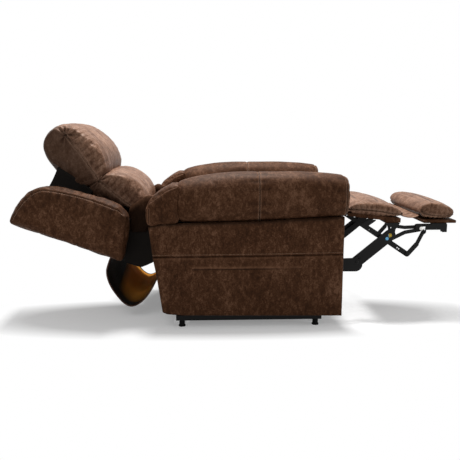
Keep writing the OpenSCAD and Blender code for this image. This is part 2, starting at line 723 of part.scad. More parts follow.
base_frame();
rest_bumpers();
floor_glides();
main_lift_arms();
front_lift_arms();
lift_actuator();
lift_rod();
lift_frame();
seat_frame();
seat_webbing();
seat_cushion();
right_arm_frame();
right_inner_panel();
right_outer_panel();
right_front_panel();
right_arm_roll();
right_rear_wedge();
left_arm_frame();
left_inner_panel();
left_outer_panel();
left_front_panel();
left_arm_roll();
left_rear_wedge();
control_box();
handset_holster();
hand_control();
lift_up_button();
lift_down_button();
back_button();
footrest_button();
back_skirt();
recline_actuator();
recline_rod();
back_frame();
back_webbing();
back_outer_panel();
right_wing();
left_wing();
lower_back_cover();
lumbar_pillow();
lower_pillow();
headrest_plate();
head_pillow();
footrest_actuator();
footrest_rod();
footrest_cranks();
ottoman_links();
link_bushes();
guide_links();
ottoman_brackets();
ottoman_board();
ottoman_pad();
guide_rivets();
footrest_flap();
extension_rails();
extension_board();
extension_pad();
prop_links();
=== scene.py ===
# %% [markdown]
# # A lift recliner, dressed in Blender
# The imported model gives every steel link, frame and joint at its true place. This lesson adds what a
# frame can't have: stuffed leather, sewn seams, hanging cloth and the finish of each metal.
# %% Load the frame
import math

import bmesh
import bpy
import numpy as np
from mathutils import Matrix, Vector, noise
from mathutils.bvhtree import BVHTree


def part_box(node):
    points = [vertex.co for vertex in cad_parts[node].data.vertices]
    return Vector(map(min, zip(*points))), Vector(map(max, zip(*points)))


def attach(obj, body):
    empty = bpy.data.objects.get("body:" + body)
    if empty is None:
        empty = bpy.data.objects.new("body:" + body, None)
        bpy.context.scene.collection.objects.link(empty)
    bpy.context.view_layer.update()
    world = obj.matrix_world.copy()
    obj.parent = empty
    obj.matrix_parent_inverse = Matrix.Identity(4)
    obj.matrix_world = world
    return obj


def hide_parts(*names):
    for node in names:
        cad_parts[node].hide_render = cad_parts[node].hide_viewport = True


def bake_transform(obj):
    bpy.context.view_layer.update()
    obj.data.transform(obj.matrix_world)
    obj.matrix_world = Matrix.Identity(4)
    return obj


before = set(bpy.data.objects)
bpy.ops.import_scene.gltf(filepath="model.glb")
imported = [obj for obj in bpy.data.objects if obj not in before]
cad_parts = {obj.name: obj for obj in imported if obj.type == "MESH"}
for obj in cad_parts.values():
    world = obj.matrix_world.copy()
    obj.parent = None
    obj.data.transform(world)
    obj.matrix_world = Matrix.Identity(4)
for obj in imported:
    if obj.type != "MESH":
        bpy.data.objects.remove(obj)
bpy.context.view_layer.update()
MM = 0.001

# %% [markdown]
# ## Arithmetic that builds nodes
# A shader is a formula drawn as boxes. Wrapping a socket in a small class lets the formula be written as
# one, and each sign adds its Math node. The same class serves geometry trees.
# %% Sockets with operators
class Wire:
    """An output socket; arithmetic on it adds Math nodes."""

    def __init__(self, graph, socket):
        self.graph = graph
        self.socket = socket

    def math(self, operation, *values, clamp=False):
        settings = {"operation": operation, "use_clamp": clamp}
        return self.graph.node("ShaderNodeMath", settings, dict(enumerate(values)))[0]

    def __add__(self, other):
        return self.math("ADD", self, other)

    def __radd__(self, other):
        return self.math("ADD", other, self)

    def __sub__(self, other):
        return self.math("SUBTRACT", self, other)

    def __rsub__(self, other):
        return self.math("SUBTRACT", other, self)

    def __mul__(self, other):
        return self.math("MULTIPLY", self, other)

    def __rmul__(self, other):
        return self.math("MULTIPLY", other, self)

    def clamped(self):
        return self.math("ADD", self, 0.0, clamp=True)


class Made:
    """A node that was added; its outputs are read by name or number."""

    def __init__(self, graph, made):
        self.graph = graph
        self.made = made

    def __getitem__(self, key):
        return Wire(self.graph, self.made.outputs[key])


class Graph:
    """A node tree, and the one method that adds nodes to it."""

    def __init__(self, tree):
        self.tree = tree

    def node(self, kind, settings=None, sockets=None):
        made = self.tree.nodes.new(kind)
        for key, value in (settings or {}).items():
            if key == "stops":
                ramp = made.color_ramp.elements
                while len(ramp) < len(value):
                    ramp.new(0.5)
                for stop, (place, colour) in zip(ramp, value):
                    stop.position = place
                    stop.color = (*colour, 1.0)
            else:
                setattr(made, key, value)
        for key, value in (sockets or {}).items():
            if isinstance(value, Wire):
                self.tree.links.new(value.socket, made.inputs[key])
            else:
                made.inputs[key].default_value = value
        return Made(self, made)

    def noise(self, place, scale, detail=4.0, rough=0.55, warp=0.0):
        sockets = {"Vector": place, "Scale": scale, "Detail": detail, "Roughness": rough, "Distortion": warp}
        return self.node("ShaderNodeTexNoise", None, sockets)["Fac"]

    def blend(self, share, first, second, way="MIX"):
        settings = {"data_type": "RGBA", "blend_type": way}
        return self.node("ShaderNodeMix", settings, {0: share, 6: first, 7: second})[2]


def material(name, recipe):
    """A new material whose surface is the Principled shader that recipe(graph) describes."""
    made = bpy.data.materials.new(name)
    made.use_nodes = True
    made.node_tree.nodes.clear()
    graph = Graph(made.node_tree)
    shader = graph.node("ShaderNodeBsdfPrincipled", None, recipe(graph))
    graph.node("ShaderNodeOutputMaterial", None, {"Surface": shader["BSDF"]})
    return made


# %% [markdown]
# ## Distressed leather
# The cover is a brushed faux leather: a dark brown ground, cloudy lighter patches where the nap was rubbed,
# fine flecks, and edges that wear pale along each seam. A picture could be wrapped round it, but noise in
# the object's own space has no joins and fits any shape. The mesh hands over two numbers: wear, which also
# carries painted highlights on crests, and painted shade, which darkens grooves, folds and shaded parts.
# %% Leather
def leather_recipe(ground, middle, rubbed, roughness, shine=0.09):
    def recipe(g):
        place = g.node("ShaderNodeTexCoord")["Object"]
        wear = g.node("ShaderNodeAttribute", {"attribute_name": "wear"})["Fac"]
        crease = g.node("ShaderNodeAttribute", {"attribute_name": "crease"})["Fac"]
        drawn = g.node("ShaderNodeMapping", None, {"Vector": place, "Scale": (1.25, 1.25, 0.75)})["Vector"]
        clouds = g.noise(drawn, 8.0, 5.0, 0.6, 0.7)
        patches = g.noise(drawn, 50.0, 8.0, 0.74, 0.6)
        flecks = g.noise(place, 190.0, 4.0, 0.65)
        tone = clouds * 0.28 + patches * 0.46 + flecks * 0.26
        stops = [(0.41, ground), (0.505, middle), (0.60, rubbed)]
        colour = g.node("ShaderNodeValToRGB", {"stops": stops}, {"Fac": tone})["Color"]
        # Pale rubbed wear, plus painted highlights on the crests that the mesh marks.
        pale = tuple(min(1.0, c * 1.25) for c in rubbed) + (1.0,)
        colour = g.blend((wear * (patches * 0.9 + 0.25)).clamped(), colour, pale)
        # Painted shade: where the mesh asks for it, the colour darkens towards a near-black ground.
        dark = tuple(c * 0.2 for c in ground) + (1.0,)
        colour = g.blend((crease * 0.9).clamped(), colour, dark)
        cells = g.node("ShaderNodeTexVoronoi", None, {"Vector": place, "Scale": 420.0})["Distance"]
        height = cells * 0.5 + flecks * 0.6 + patches * 1.6
        bump = g.node("ShaderNodeBump", None, {"Strength": 0.32, "Distance": 0.0012, "Height": height})
        return {
            "Base Color": colour,
            "Roughness": (patches * -0.25 + flecks * 0.15 + roughness).clamped(),
            "Normal": bump["Normal"],
            "Specular IOR Level": shine,
            "Specular Tint": (1.0, 0.72, 0.55, 1.0),
        }

    return recipe


GROUND = (0.024, 0.0092, 0.0042)
MIDDLE = (0.054, 0.0220, 0.0102)
RUBBED = (0.128, 0.0630, 0.0360)
# The pillow leather is the panel leather painted lighter: its lighter colours are painted light that stands
# in for the strong light on the tops of the pillows, seat and pads.
LIT_PILLOW_GROUND = (0.060, 0.0265, 0.0150)
LIT_PILLOW_MIDDLE = (0.148, 0.0765, 0.0470)
LIT_PILLOW_RUBBED = (0.260, 0.1560, 0.1080)
leather = material("panel_leather", leather_recipe(GROUND, MIDDLE, RUBBED, 0.66))
lit_pillow_cover = leather_recipe(LIT_PILLOW_GROUND, LIT_PILLOW_MIDDLE, LIT_PILLOW_RUBBED, 0.54, 0.12)
lit_soft_leather = material("lit_pillow_leather", lit_pillow_cover)
print("leathers:", leather.name, lit_soft_leather.name)

# %% [markdown]
# ## Metals, cloth, timber and plastics
# Each of the other finishes needs one idea: black paint has a faint orange peel, cloth has a weave from two
# crossed waves, rods are bright metal. Unwrapping each part would allow drawn patterns, but all of these are
# even finishes, so they read object space and need no unwrapping.
# %% Other finishes
def plain_recipe(colour, roughness, metal=0.0, grain=60.0, spread=0.12, bump=0.0004, strength=0.15,
                 shine=0.5):
    def recipe(g):
        place = g.node("ShaderNodeTexCoord")["Object"]
        smear = g.noise(place, grain, 5.0, 0.6)
        peel = g.noise(place, grain * 9.0, 2.0)
        low = tuple(c * (1.0 - spread) for c in colour) + (1.0,)
        high = tuple(min(1.0, c * (1.0 + spread)) for c in colour) + (1.0,)
        lift = g.node("ShaderNodeBump", None, {"Strength": strength, "Distance": bump, "Height": peel})
        return {
            "Base Color": g.blend(smear, low, high),
            "Roughness": (smear * 0.16 + roughness - 0.08).clamped(),
            "Metallic": metal,
            "Specular IOR Level": shine,
            "Normal": lift["Normal"],
        }

    return recipe


def cloth_recipe(colour, second, threads, along=None):
    def recipe(g):
        place = g.node("ShaderNodeTexCoord")["Object"]
        settings = {"wave_type": "BANDS", "bands_direction": "Y"}
        warp = g.node("ShaderNodeTexWave", settings, {"Vector": place, "Scale": threads})["Fac"]
        settings = {"wave_type": "BANDS", "bands_direction": "DIAGONAL"}
        weft = g.node("ShaderNodeTexWave", settings, {"Vector": place, "Scale": threads})["Fac"]
        weave = warp * 0.5 + weft * 0.5
        soil = g.noise(place, 11.0, 4.0)
        share = (weave * 0.3 + soil * 0.7).clamped()
        # An attribute can give the share instead; on the lining it carries painted light and shade.
        if along:
            share = g.node("ShaderNodeAttribute", {"attribute_name": along})["Fac"]
            share = (share * (soil * 0.5 + 0.75)).clamped()
        lift = g.node("ShaderNodeBump", None, {"Strength": 0.3, "Distance": 0.0006, "Height": weave})
        return {
            "Base Color": g.blend(share, (*colour, 1.0), (*second, 1.0)),
            "Roughness": (soil * 0.1 + 0.8).clamped(),
            "Normal": lift["Normal"],
            "Specular IOR Level": 0.08,
        }

    return recipe


BLACK = (0.0065, 0.0062, 0.0062)
steel = material("black_steel_paint", plain_recipe(BLACK, 0.42, 0.0, 40.0, 0.35, 0.0005, 0.2, 0.14))
bright = material("bright_rod", plain_recipe((0.62, 0.62, 0.63), 0.22, 1.0, 50.0, 0.08))
zinc = material("zinc_rivet", plain_recipe((0.70, 0.69, 0.66), 0.28, 1.0, 120.0, 0.12))
motor_shell = plain_recipe((0.016, 0.016, 0.017), 0.5, 0.0, 30.0, 0.2, shine=0.25)
motor_plastic = material("motor_plastic", motor_shell)
hand_plastic = material("handset_plastic", plain_recipe((0.028, 0.028, 0.030), 0.42, 0.0, 35.0, 0.15))
key_rubber = material("button_rubber", plain_recipe((0.22, 0.22, 0.23), 0.62, 0.0, 60.0, 0.12))
foot_rubber = material("foot_rubber", plain_recipe((0.006, 0.006, 0.006), 0.75, 0.0, 60.0, 0.3, shine=0.1))
yellow_nylon = material("yellow_nylon", plain_recipe((0.62, 0.42, 0.03), 0.4, 0.0, 90.0, 0.08))
blue_nylon = material("blue_nylon", plain_recipe((0.13, 0.42, 0.68), 0.4, 0.0, 90.0, 0.08))
thread = material("seam_thread", plain_recipe((0.30, 0.19, 0.13), 0.7, 0.0, 300.0, 0.25, shine=0.2))
webbing = material("elastic_webbing", cloth_recipe((0.015, 0.014, 0.013), (0.07, 0.065, 0.06), 260.0))
backing = cloth_recipe((0.006, 0.005, 0.0045), (0.016, 0.013, 0.011), 420.0)
black_cloth = material("black_backing_cloth", backing)
lining = material("skirt_lining", cloth_recipe((0.008, 0.005, 0.003), (0.80, 0.33, 0.045), 300.0, "along"))
HEM_MIDDLE = (0.085, 0.045, 0.032)
HEM_RUBBED = (0.16, 0.09, 0.065)
piping = material("hem_leather", leather_recipe(GROUND, HEM_MIDDLE, HEM_RUBBED, 0.55))
print("finishes:", len(bpy.data.materials))

# %% [markdown]
# ## Finishes on the parts that stay
# Links, frames and motors already have the right shape, so each only gets a finish in place of the plain
# colour that came with it.
# %% Dress the frame's own parts
def finish_for(node):
    if node.endswith("actuator") or node == "control_box":
        return motor_plastic
    if node.endswith("_rod"):
        return bright
    if node.endswith("_button"):
        return key_rubber
    if node.endswith("arm_frame") or node in ("back_frame", "headrest_plate"):
        return black_cloth
    if node.endswith("webbing"):
        return webbing
    named = {
        "hand_control": hand_plastic,
        "handset_holster": black_cloth,
        "rest_bumpers": foot_rubber,
        "floor_glides": foot_rubber,
        "guide_rivets": zinc,
        "ottoman_board": leather,
    }
    return named.get(node, steel)


for node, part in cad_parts.items():
    part.data.materials.clear()
    part.data.materials.append(finish_for(node))
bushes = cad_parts["link_bushes"].data
bushes.materials.clear()
for nylon in (yellow_nylon, blue_nylon):
    bushes.materials.append(nylon)
BUSH_SPLIT_X = 0.6805
for face in bushes.polygons:
    face.material_index = int(face.center.x < BUSH_SPLIT_X)
print("dressed", len(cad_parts), "frame parts")

# %% [markdown]
# ## Frames of reference
# The back is drawn upright and then leaned 71 degrees, and the headrest leans 20 degrees the other way from
# it. Two small functions carry a point from those upright drawings to the chair.
# %% Places on the back and the headrest
BACK_PIVOT = (-299.0, 427.0)
BACK_TILT = math.radians(71)
HEAD_HINGE = (2.0, 398.0)
HEAD_TILT = math.radians(71 - 20)


def lean(point, angle, origin):
    v, u = point
    x = origin[0] + v * math.cos(angle) - u * math.sin(angle)
    return (x, origin[1] + v * math.sin(angle) + u * math.cos(angle))


def on_back(point):
    return lean(point, BACK_TILT, BACK_PIVOT)


def on_head(point):
    return lean(point, HEAD_TILT, on_back(HEAD_HINGE))


def as_is(point):
    return point


print("headrest hinge at", [round(c) for c in on_back(HEAD_HINGE)])

# %% [markdown]
# ## Mesh helpers
# Every upholstered piece starts as rows of points joined by quads. The pieces could be modelled by hand with
# the mouse, but then no size could be changed later, so small helpers build and close each mesh.
# %% Make and close a mesh
def new_piece(name, points, faces, finish):
    mesh = bpy.data.meshes.new(name)
    mesh.from_pydata([tuple(p) for p in points], [], faces)
    mesh.update()
    piece = bpy.data.objects.new(name, mesh)
    bpy.context.scene.collection.objects.link(piece)
    mesh.materials.append(finish)
    return piece


def tidy_shell(piece, merge=1e-5):
    """Merges doubles and turns every face outward."""
    shell = bmesh.new()
    shell.from_mesh(piece.data)
    bmesh.ops.remove_doubles(shell, verts=shell.verts, dist=merge)
    bmesh.ops.recalc_face_normals(shell, faces=shell.faces)
    shell.to_mesh(piece.data)
    shell.free()
    piece.data.update()


def smooth_faces(piece):
    piece.data.polygons.foreach_set("use_smooth", [True] * len(piece.data.polygons))


print("shell helpers ready")


# %% [markdown]
# A mesh is edited fastest as one table of numbers. These helpers read and write the points, and keep a value
# per point that the leather reads.
# %% Read and write points
def coords(mesh):
    flat = np.empty(len(mesh.vertices) * 3)
    mesh.vertices.foreach_get("co", flat)
    return flat.reshape(-1, 3)


def set_coords(mesh, points):
    mesh.vertices.foreach_set("co", np.asarray(points, np.float32).ravel())
    mesh.update()


def normals(mesh):
    flat = np.empty(len(mesh.vertices) * 3)
    mesh.vertices.foreach_get("normal", flat)
    return flat.reshape(-1, 3)


def flatten(piece):
    """Replaces the mesh by the result of the piece's modifiers."""
    graph = bpy.context.evaluated_depsgraph_get()
    made = bpy.data.meshes.new_from_object(piece.evaluated_get(graph), depsgraph=graph)
    old = piece.data
    piece.modifiers.clear()
    piece.data = made
    bpy.data.meshes.remove(old)
    made.name = piece.name


def store(mesh, name, values):
    layer = mesh.attributes.get(name) or mesh.attributes.new(name, "FLOAT", "POINT")
    layer.data.foreach_set("value", np.clip(values, 0, 1).astype(np.float32))


def add_to(mesh, name, values):
    old = np.zeros(len(mesh.vertices))
    layer = mesh.attributes.get(name)
    if layer:
        layer.data.foreach_get("value", old)
    store(mesh, name, np.maximum(old, values))


print("point helpers ready")


# %% [markdown]
# Seams and outlines are lines of points. These helpers space them evenly, round their corners, and measure
# how far a surface is from them.
# %% Lines, noise and distance
def resample(points, count):
    points = np.asarray(points, float)
    steps = np.r_[0, np.cumsum(np.linalg.norm(np.diff(points, axis=0), axis=1))]
    wanted = np.linspace(0, steps[-1], count)
    return np.stack([np.interp(wanted, steps, points[:, k]) for k in range(points.shape[1])], 1)


def rounded(points, count, passes=2, closed=False):
    """A line with its corners cut, resampled to count points."""
    points = np.asarray(points, float)
    for _ in range(passes):
        ahead = np.roll(points, -1, 0) if closed else points[1:]
        here = points if closed else points[:-1]
        cut = np.stack([here * 0.75 + ahead * 0.25, here * 0.25 + ahead * 0.75], 1)
        cut = cut.reshape(-1, points.shape[1])
        points = cut if closed else np.r_[points[:1], cut, points[-1:]]
    if closed:
        points = np.r_[points, points[:1]]
        return resample(points, count + 1)[:-1]
    return resample(points, count)


def wobble(points, size, seed, drawn=(1, 1, 1)):
    """Smooth noise from -1 to 1 at each point; size is a lump's width in metres."""
    scale = np.asarray(drawn) / size
    return np.array([noise.noise(Vector(p * scale + seed * 7.31)) for p in points])


def seam_distance(points, line):
    """Distance of each point to a line of points, and how far along it the nearest place is."""
    best = np.full(len(points), 1e9)
    along = np.zeros(len(points))
    start = 0.0
    for a, b in zip(line[:-1], line[1:]):
        d = b - a
        length = np.linalg.norm(d)
        t = np.clip(((points - a) @ d) / max(length**2, 1e-12), 0, 1)
        gap = np.linalg.norm(points - a - t[:, None] * d, axis=1)
        near = gap < best
        best[near] = gap[near]
        along[near] = start + t[near] * length
        start += length
    return best, along


print("line helpers ready")

# %% [markdown]
# ## Stuffing by cloth simulation
# A cushion is a sewn bag with foam pushing out. Sculpting the bulge works, but a cloth solver under air
# pressure finds it by itself: the seams are pinned, the panels swell between them until a cap stops them.
# %% Inflate a cage
scene = bpy.context.scene
FRAMES = 16


def inflate(piece, voxel, cap, seams=(), pressure=4.0):
    remesh = piece.modifiers.new("even_quads", "REMESH")
    remesh.mode = "VOXEL"
    remesh.voxel_size = voxel
    flatten(piece)
    start = coords(piece.data)
    pinned = np.zeros(len(start), bool)
    for line in seams:
        pinned |= seam_distance(start, line)[0] < voxel * 1.6
    group = piece.vertex_groups.new(name="seam_pins")
    group.add([int(i) for i in np.flatnonzero(pinned)], 1.0, "REPLACE")
    cloth = piece.modifiers.new("stuffing", "CLOTH")
    settings = cloth.settings
    settings.use_pressure = True
    settings.uniform_pressure_force = pressure
    settings.effector_weights.gravity = 0.0
    settings.quality = 4
    settings.mass = 0.3
    settings.bending_stiffness = 0.6
    settings.vertex_group_mass = group.name
    cloth.point_cache.frame_start = 1
    cloth.point_cache.frame_end = FRAMES
    for step in range(1, FRAMES + 1):
        scene.frame_set(step)
    graph = bpy.context.evaluated_depsgraph_get()
    swollen = coords(piece.evaluated_get(graph).data)
    piece.modifiers.clear()
    piece.vertex_groups.clear()
    scene.frame_set(1)
    move = swollen - start
    far = np.linalg.norm(move, axis=1, keepdims=True)
    set_coords(piece.data, start + move * np.minimum(1, cap / np.maximum(far, 1e-9)))
    relax = piece.modifiers.new("relax", "SMOOTH")
    relax.factor = 0.5
    relax.iterations = 2
    finer = piece.modifiers.new("finer", "SUBSURF")
    finer.levels = 1
    finer.render_levels = 1
    flatten(piece)
    return piece


print("simulation steps per piece:", FRAMES)


# %% [markdown]
# A swollen bag has no exact size, so it is scaled back into the box of the frame part that it covers, or into
# a box given by two corners.
# %% Fit to size
def fit_box(piece, node):
    """Scales the piece into the box of the frame node that it stands for."""
    low, high = [np.array(corner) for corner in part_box(node)]
    points = coords(piece.data)
    least = points.min(0)
    most = points.max(0)
    set_coords(piece.data, low + (points - least) * (high - low) / (most - least))


def fit_corners(piece, low, high):
    """Scales the piece into a box given by two corners in millimetres."""
    points = coords(piece.data)
    low, high = np.array(low) * MM, np.array(high) * MM
    share = (points - points.min(0)) / (points.max(0) - points.min(0))
    set_coords(piece.data, low + share * (high - low))


print("fitting helpers ready")


# %% [markdown]
# The solver's grid is too coarse for a seam, so seams, gathers and slow dents are pressed in afterwards by
# code. Seams and gathers also leave their mark in the colour: painted shade in their grooves and valleys,
# painted highlight on their crests and pale wear beside seams, so that colour and shape agree.
# %% Seams and dents
def sew(piece, line, depth=0.004, width=0.006, wear=0.5, pucker=0.0, pitch=0.028, reach=0.05, side=None,
        seed=1, dark=1.0):
    """Presses a seam into the surface, with gathers that fade away from it.

    Sizes are in metres. side(points) limits the gathers to a part, and dark scales the seam's shade.
    """
    mesh = piece.data
    points = coords(mesh)
    out = normals(mesh)
    gap, along = seam_distance(points, line)
    push = -depth * np.exp(-((gap / width) ** 2))
    if pucker:
        phase = 2.2 * wobble(np.c_[along, along * 0, along * 0], 0.06, seed)
        wave = np.cos(2 * math.pi * along / pitch + phase)
        fade = np.exp(-gap / reach) * (1 - np.exp(-gap / width))
        if side is not None:
            fade = fade * side(points)
        push = push + pucker * wave * fade
        # Gather crests get a painted highlight, and their valleys painted shade.
        add_to(mesh, "wear", 0.35 * np.clip(wave, 0, 1) * fade)
        add_to(mesh, "crease", 0.75 * np.clip(-wave, 0, 1) ** 2 * fade)
    set_coords(mesh, points + out * push[:, None])
    # Pale wear runs beside the seam, and its groove gets painted shade.
    add_to(mesh, "wear", wear * np.exp(-(((gap - width * 1.1) / (width * 0.6)) ** 2)))
    if depth > 0:
        add_to(mesh, "crease", dark * np.exp(-((gap / (width * 0.45)) ** 2)))


def rumple(piece, height, size, seed, drawn=(1, 1, 1)):
    """Slow dents and swells in a stuffed surface."""
    points = coords(piece.data)
    lumps = wobble(points, size, seed, drawn) + 0.4 * wobble(points, size * 0.4, seed + 3, drawn)
    set_coords(piece.data, points + normals(piece.data) * (height * lumps)[:, None])


print("seam helpers ready")

# %% [markdown]
# ## Cages
# A cushion's cage is one side outline repeated across its width, crowned in the middle and drawn in at both
# ends, as a sewn case pulls in at its corners.
# %% Cushion cage
def oval(a, b, count, power, turn=0.0):
    t = np.linspace(0, 2 * math.pi, count, endpoint=False)
    c, s = np.cos(t), np.sin(t)
    x = a * np.sign(c) * np.abs(c) ** (2 / power)
    z = b * np.sign(s) * np.abs(s) ** (2 / power)
    q = math.radians(turn)
    return np.stack([x * math.cos(q) + z * math.sin(q), z * math.cos(q) - x * math.sin(q)], 1)


def cushion_cage(name, outline, half_w, crown, draw, finish, place=as_is, middle_y=0.0, shrink=8.0, ends=4):
    outline = np.asarray(outline, float)
    centre = outline.mean(0)
    spread = np.linalg.norm(outline - centre, axis=1).mean()
    inner = centre + (outline - centre) * (1 - shrink / spread)
    points, count, stations = [], len(outline), 24
    for j in range(stations + 1):
        u = math.sin(math.pi / 2 * (2 * j / stations - 1))
        s = 1 - draw + draw * (1 - abs(u) ** ends) ** 0.5 + crown * (1 - u * u) - crown
        for q in centre + (inner - centre) * s:
            x, z = place(q)
            points.append((x * MM, (middle_y + (half_w - shrink * 0.5) * u) * MM, z * MM))
    faces = [
        (k * count + i, k * count + (i + 1) % count, (k + 1) * count + (i + 1) % count, (k + 1) * count + i)
        for k in range(stations)
        for i in range(count)
    ]
    faces.append(tuple(reversed(range(count))))
    faces.append(tuple(range(stations * count, (stations + 1) * count)))
    piece = new_piece(name, points, faces, finish)
    tidy_shell(piece)
    return piece


def across(y, points, place=as_is):
    """Points of a side drawing, placed at y, in metres."""
    return np.array([(place(q)[0] * MM, y * MM, place(q)[1] * MM) for q in points])


seam_lines = {}


THREAD_LIFT = 0.0006


def on_surface(piece, line, lift=THREAD_LIFT, offset=0.0, count=None):
    """Lays a line on the finished surface, optionally shifted sideways along it."""
    graph = bpy.context.evaluated_depsgraph_get()
    tree = BVHTree.FromObject(piece, graph)
    length = np.linalg.norm(np.diff(line, axis=0), axis=1).sum()
    line = resample(line, count or max(8, int(length / 0.006)))
    laid = []
    for i, p in enumerate(line):
        spot, out, _, _ = tree.find_nearest(Vector(p))
        if offset:
            ahead = Vector(line[min(i + 1, len(line) - 1)] - line[max(i - 1, 0)]).normalized()
            spot, out, _, _ = tree.find_nearest(spot + out.cross(ahead) * offset)
        laid.append(tuple(spot + out * lift))
    return laid


def pressed_line(piece, line, count):
    """The line laid exactly on the surface, as count points, ready to be sewn."""
    return np.array(on_surface(piece, line, 0.0, 0.0, count))


def stitch(piece, line, body, offset=0.0):
    seam_lines.setdefault(body, []).append(on_surface(piece, line, THREAD_LIFT, offset))


def upholster(piece, body, nodes):
    """Finishes a stuffed piece; nodes are the frame parts that it stands for, and may be none."""
    smooth_faces(piece)
    if nodes:
        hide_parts(*nodes)
    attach(piece, body)
    print(piece.name, "faces:", len(piece.data.polygons))


# %% [markdown]
# ## Head pillow
# A fat bolster. Its case is two panels joined by a seam that runs across each end, and the upper panel is
# gathered into it, so pleats fan out from the seam. Simulated air gives the bulge, and the pleats are
# pressed along the seam afterwards, because they are finer than the solver's grid.
# %% Pillow helpers
def drawn_at(points, place):
    """The side-drawing coordinates, in millimetres, of points in metres."""
    origin = np.array(place((0, 0)))
    ways = np.array([np.array(place((1, 0))) - origin, np.array(place((0, 1))) - origin])
    return (points[:, [0, 2]] / MM - origin) @ ways.T


def fit_drawing(piece, outline, half_w, place):
    """Scales the piece so that it fills its own drawing again after it has swollen."""
    outline = np.asarray(outline, float)
    points = coords(piece.data)
    flat = drawn_at(points, place)
    least, most = flat.min(0), flat.max(0)
    flat = outline.min(0) + (flat - least) * (outline.max(0) - outline.min(0)) / (most - least)
    widest = np.abs(points[:, 1]).max()
    origin = np.array(place((0, 0)))
    ways = np.array([np.array(place((1, 0))) - origin, np.array(place((0, 1))) - origin])
    spots = (origin + flat @ ways) * MM
    set_coords(piece.data, np.c_[spots[:, 0], points[:, 1] * half_w * MM / widest, spots[:, 1]])


def gather(piece, centre, depth, folds, height, reach, seed):
    """Draws the cover together at one point, with folds that radiate from it."""
    mesh = piece.data
    points, out = coords(mesh), normals(mesh)
    nearest = np.argmin(np.linalg.norm(points - centre, axis=1))
    centre, facing = points[nearest], out[nearest]
    first = np.cross(facing, (0.3, 0.2, 1.0))
    first /= np.linalg.norm(first)
    second = np.cross(facing, first)
    away = points - centre
    far = np.linalg.norm(away, axis=1)
    angle = np.arctan2(away @ second, away @ first)
    wave = np.cos(folds * angle + 1.7 * np.sin(2 * angle + seed))
    fade = np.exp(-far / reach) * (1 - np.exp(-far / 0.008)) * np.clip(out @ facing + 0.4, 0, 1)
    push = height * wave * fade - depth * np.exp(-((far / 0.010) ** 2))
    set_coords(mesh, points + out * push[:, None])
    # Painted shade at the centre and in the fold valleys, and painted highlight on the fold crests.
    add_to(mesh, "crease", np.exp(-((far / 0.006) ** 2)) + 1.3 * np.clip(-wave, 0, 1) ** 2 * fade)
    add_to(mesh, "wear", 0.8 * np.clip(wave, 0, 1) * fade)


TWIN_NEEDLE = (-0.0045, 0.0045)
END_SHADE = 0.72


def pillow(name, outline, half_w, crown, draw, place, body, nodes, seam, cap, pleats, seed=1):
    """A bolster: outline and seam are side drawings; pleats are (height, pitch, reach) sets."""
    outline = rounded(outline, 44, 2, True)
    piece = cushion_cage(name, outline, half_w, crown, draw, lit_soft_leather, place, ends=2.6)
    ends = [across(side * half_w, rounded(seam, 24), place) for side in (-1, 1)]
    inflate(piece, 0.006, cap, ends)
    fit_drawing(piece, outline, half_w, place)
    bend = np.array(seam, float)[::-1]

    def above(points):
        flat = drawn_at(points, place)
        return 1 / (1 + np.exp(-(flat[:, 0] - np.interp(flat[:, 1], bend[:, 1], bend[:, 0])) / 5.0))

    for k, line in enumerate(ends):
        line = pressed_line(piece, line, 50)
        for height, pitch, reach in pleats:
            sew(piece, line, 0.0, 0.007, 0.0, height, pitch, reach, above, seed + k)
        sew(piece, line, 0.0050, 0.0055, 0.9, pucker=0.0028, pitch=0.050, reach=0.060,
            side=lambda p: 1 - above(p), seed=seed + k + 5, dark=0.7)
        gather(piece, line[2], 0.008, 8, 0.0060, 0.050, seed + k)
        for shift in TWIN_NEEDLE:
            stitch(piece, line, body, shift)
    rumple(piece, 0.0022, 0.045, seed, (0.22, 1.0, 0.22))
    points = coords(piece.data)
    # The ends of the lower panel get painted shade.
    end_share = np.clip((np.abs(points[:, 1]) / (half_w * MM) - 0.62) / 0.2, 0, 1)
    add_to(piece.data, "crease", END_SHADE * end_share * (1 - above(points)))
    upholster(piece, body, nodes)


print("pillow helper ready, twin needle at", TWIN_NEEDLE)

# %% Head pillow
HEAD_OUTLINE = [(-8, 198), (6, 268), (40, 318), (88, 337), (138, 332), (184, 312), (218, 274), (231, 224),
                (231, 168), (221, 108), (202, 58), (176, 22), (150, 4), (110, -2), (66, 6), (20, 22),
                (-6, 60), (-12, 120)]
HEAD_SEAM = [(166, 262), (160, 240), (150, 206), (140, 156), (120, 92), (99, 33), (88, 8)]
pillow("head_bolster", HEAD_OUTLINE, 272, 0.01, 0.15, on_head, "headrest", ["head_pillow", "headrest_plate"],
       HEAD_SEAM, 0.024, [(0.0030, 0.013, 0.026), (0.0034, 0.031, 0.048)], seed=2)

# %% [markdown]
# ## Lumbar and lower pillows
# The same case in two smaller sizes, each on the leaning back.
# %% Back pillows
LUMBAR_OUTLINE = [(-8, 408), (30, 434), (70, 430), (104, 410), (136, 368), (156, 326), (160, 284), (142, 240),
                  (116, 200), (86, 164), (62, 148), (34, 150), (-2, 172), (-10, 260)]
LUMBAR_SEAM = [(100, 392), (92, 374), (68, 310), (37, 233), (20, 200), (6, 176)]
pillow("lumbar_bolster", LUMBAR_OUTLINE, 257, 0.01, 0.15, on_back, "back", ["lumbar_pillow"],
       LUMBAR_SEAM, 0.020, [(0.0028, 0.012, 0.022), (0.0030, 0.028, 0.040)], seed=4)
LOWER_OUTLINE = rounded(oval(53, 68, 32, 2.3, 6) + (34.0, 84.0), 30, 0, True)
LOWER_SEAM = [(60, 140), (48, 110), (30, 70), (14, 24)]
pillow("lower_bolster", LOWER_OUTLINE, 255, 0.03, 0.17, on_back, "back", ["lower_pillow"],
       LOWER_SEAM, 0.018, [(0.0020, 0.014, 0.020), (0.0030, 0.030, 0.040)], seed=6)

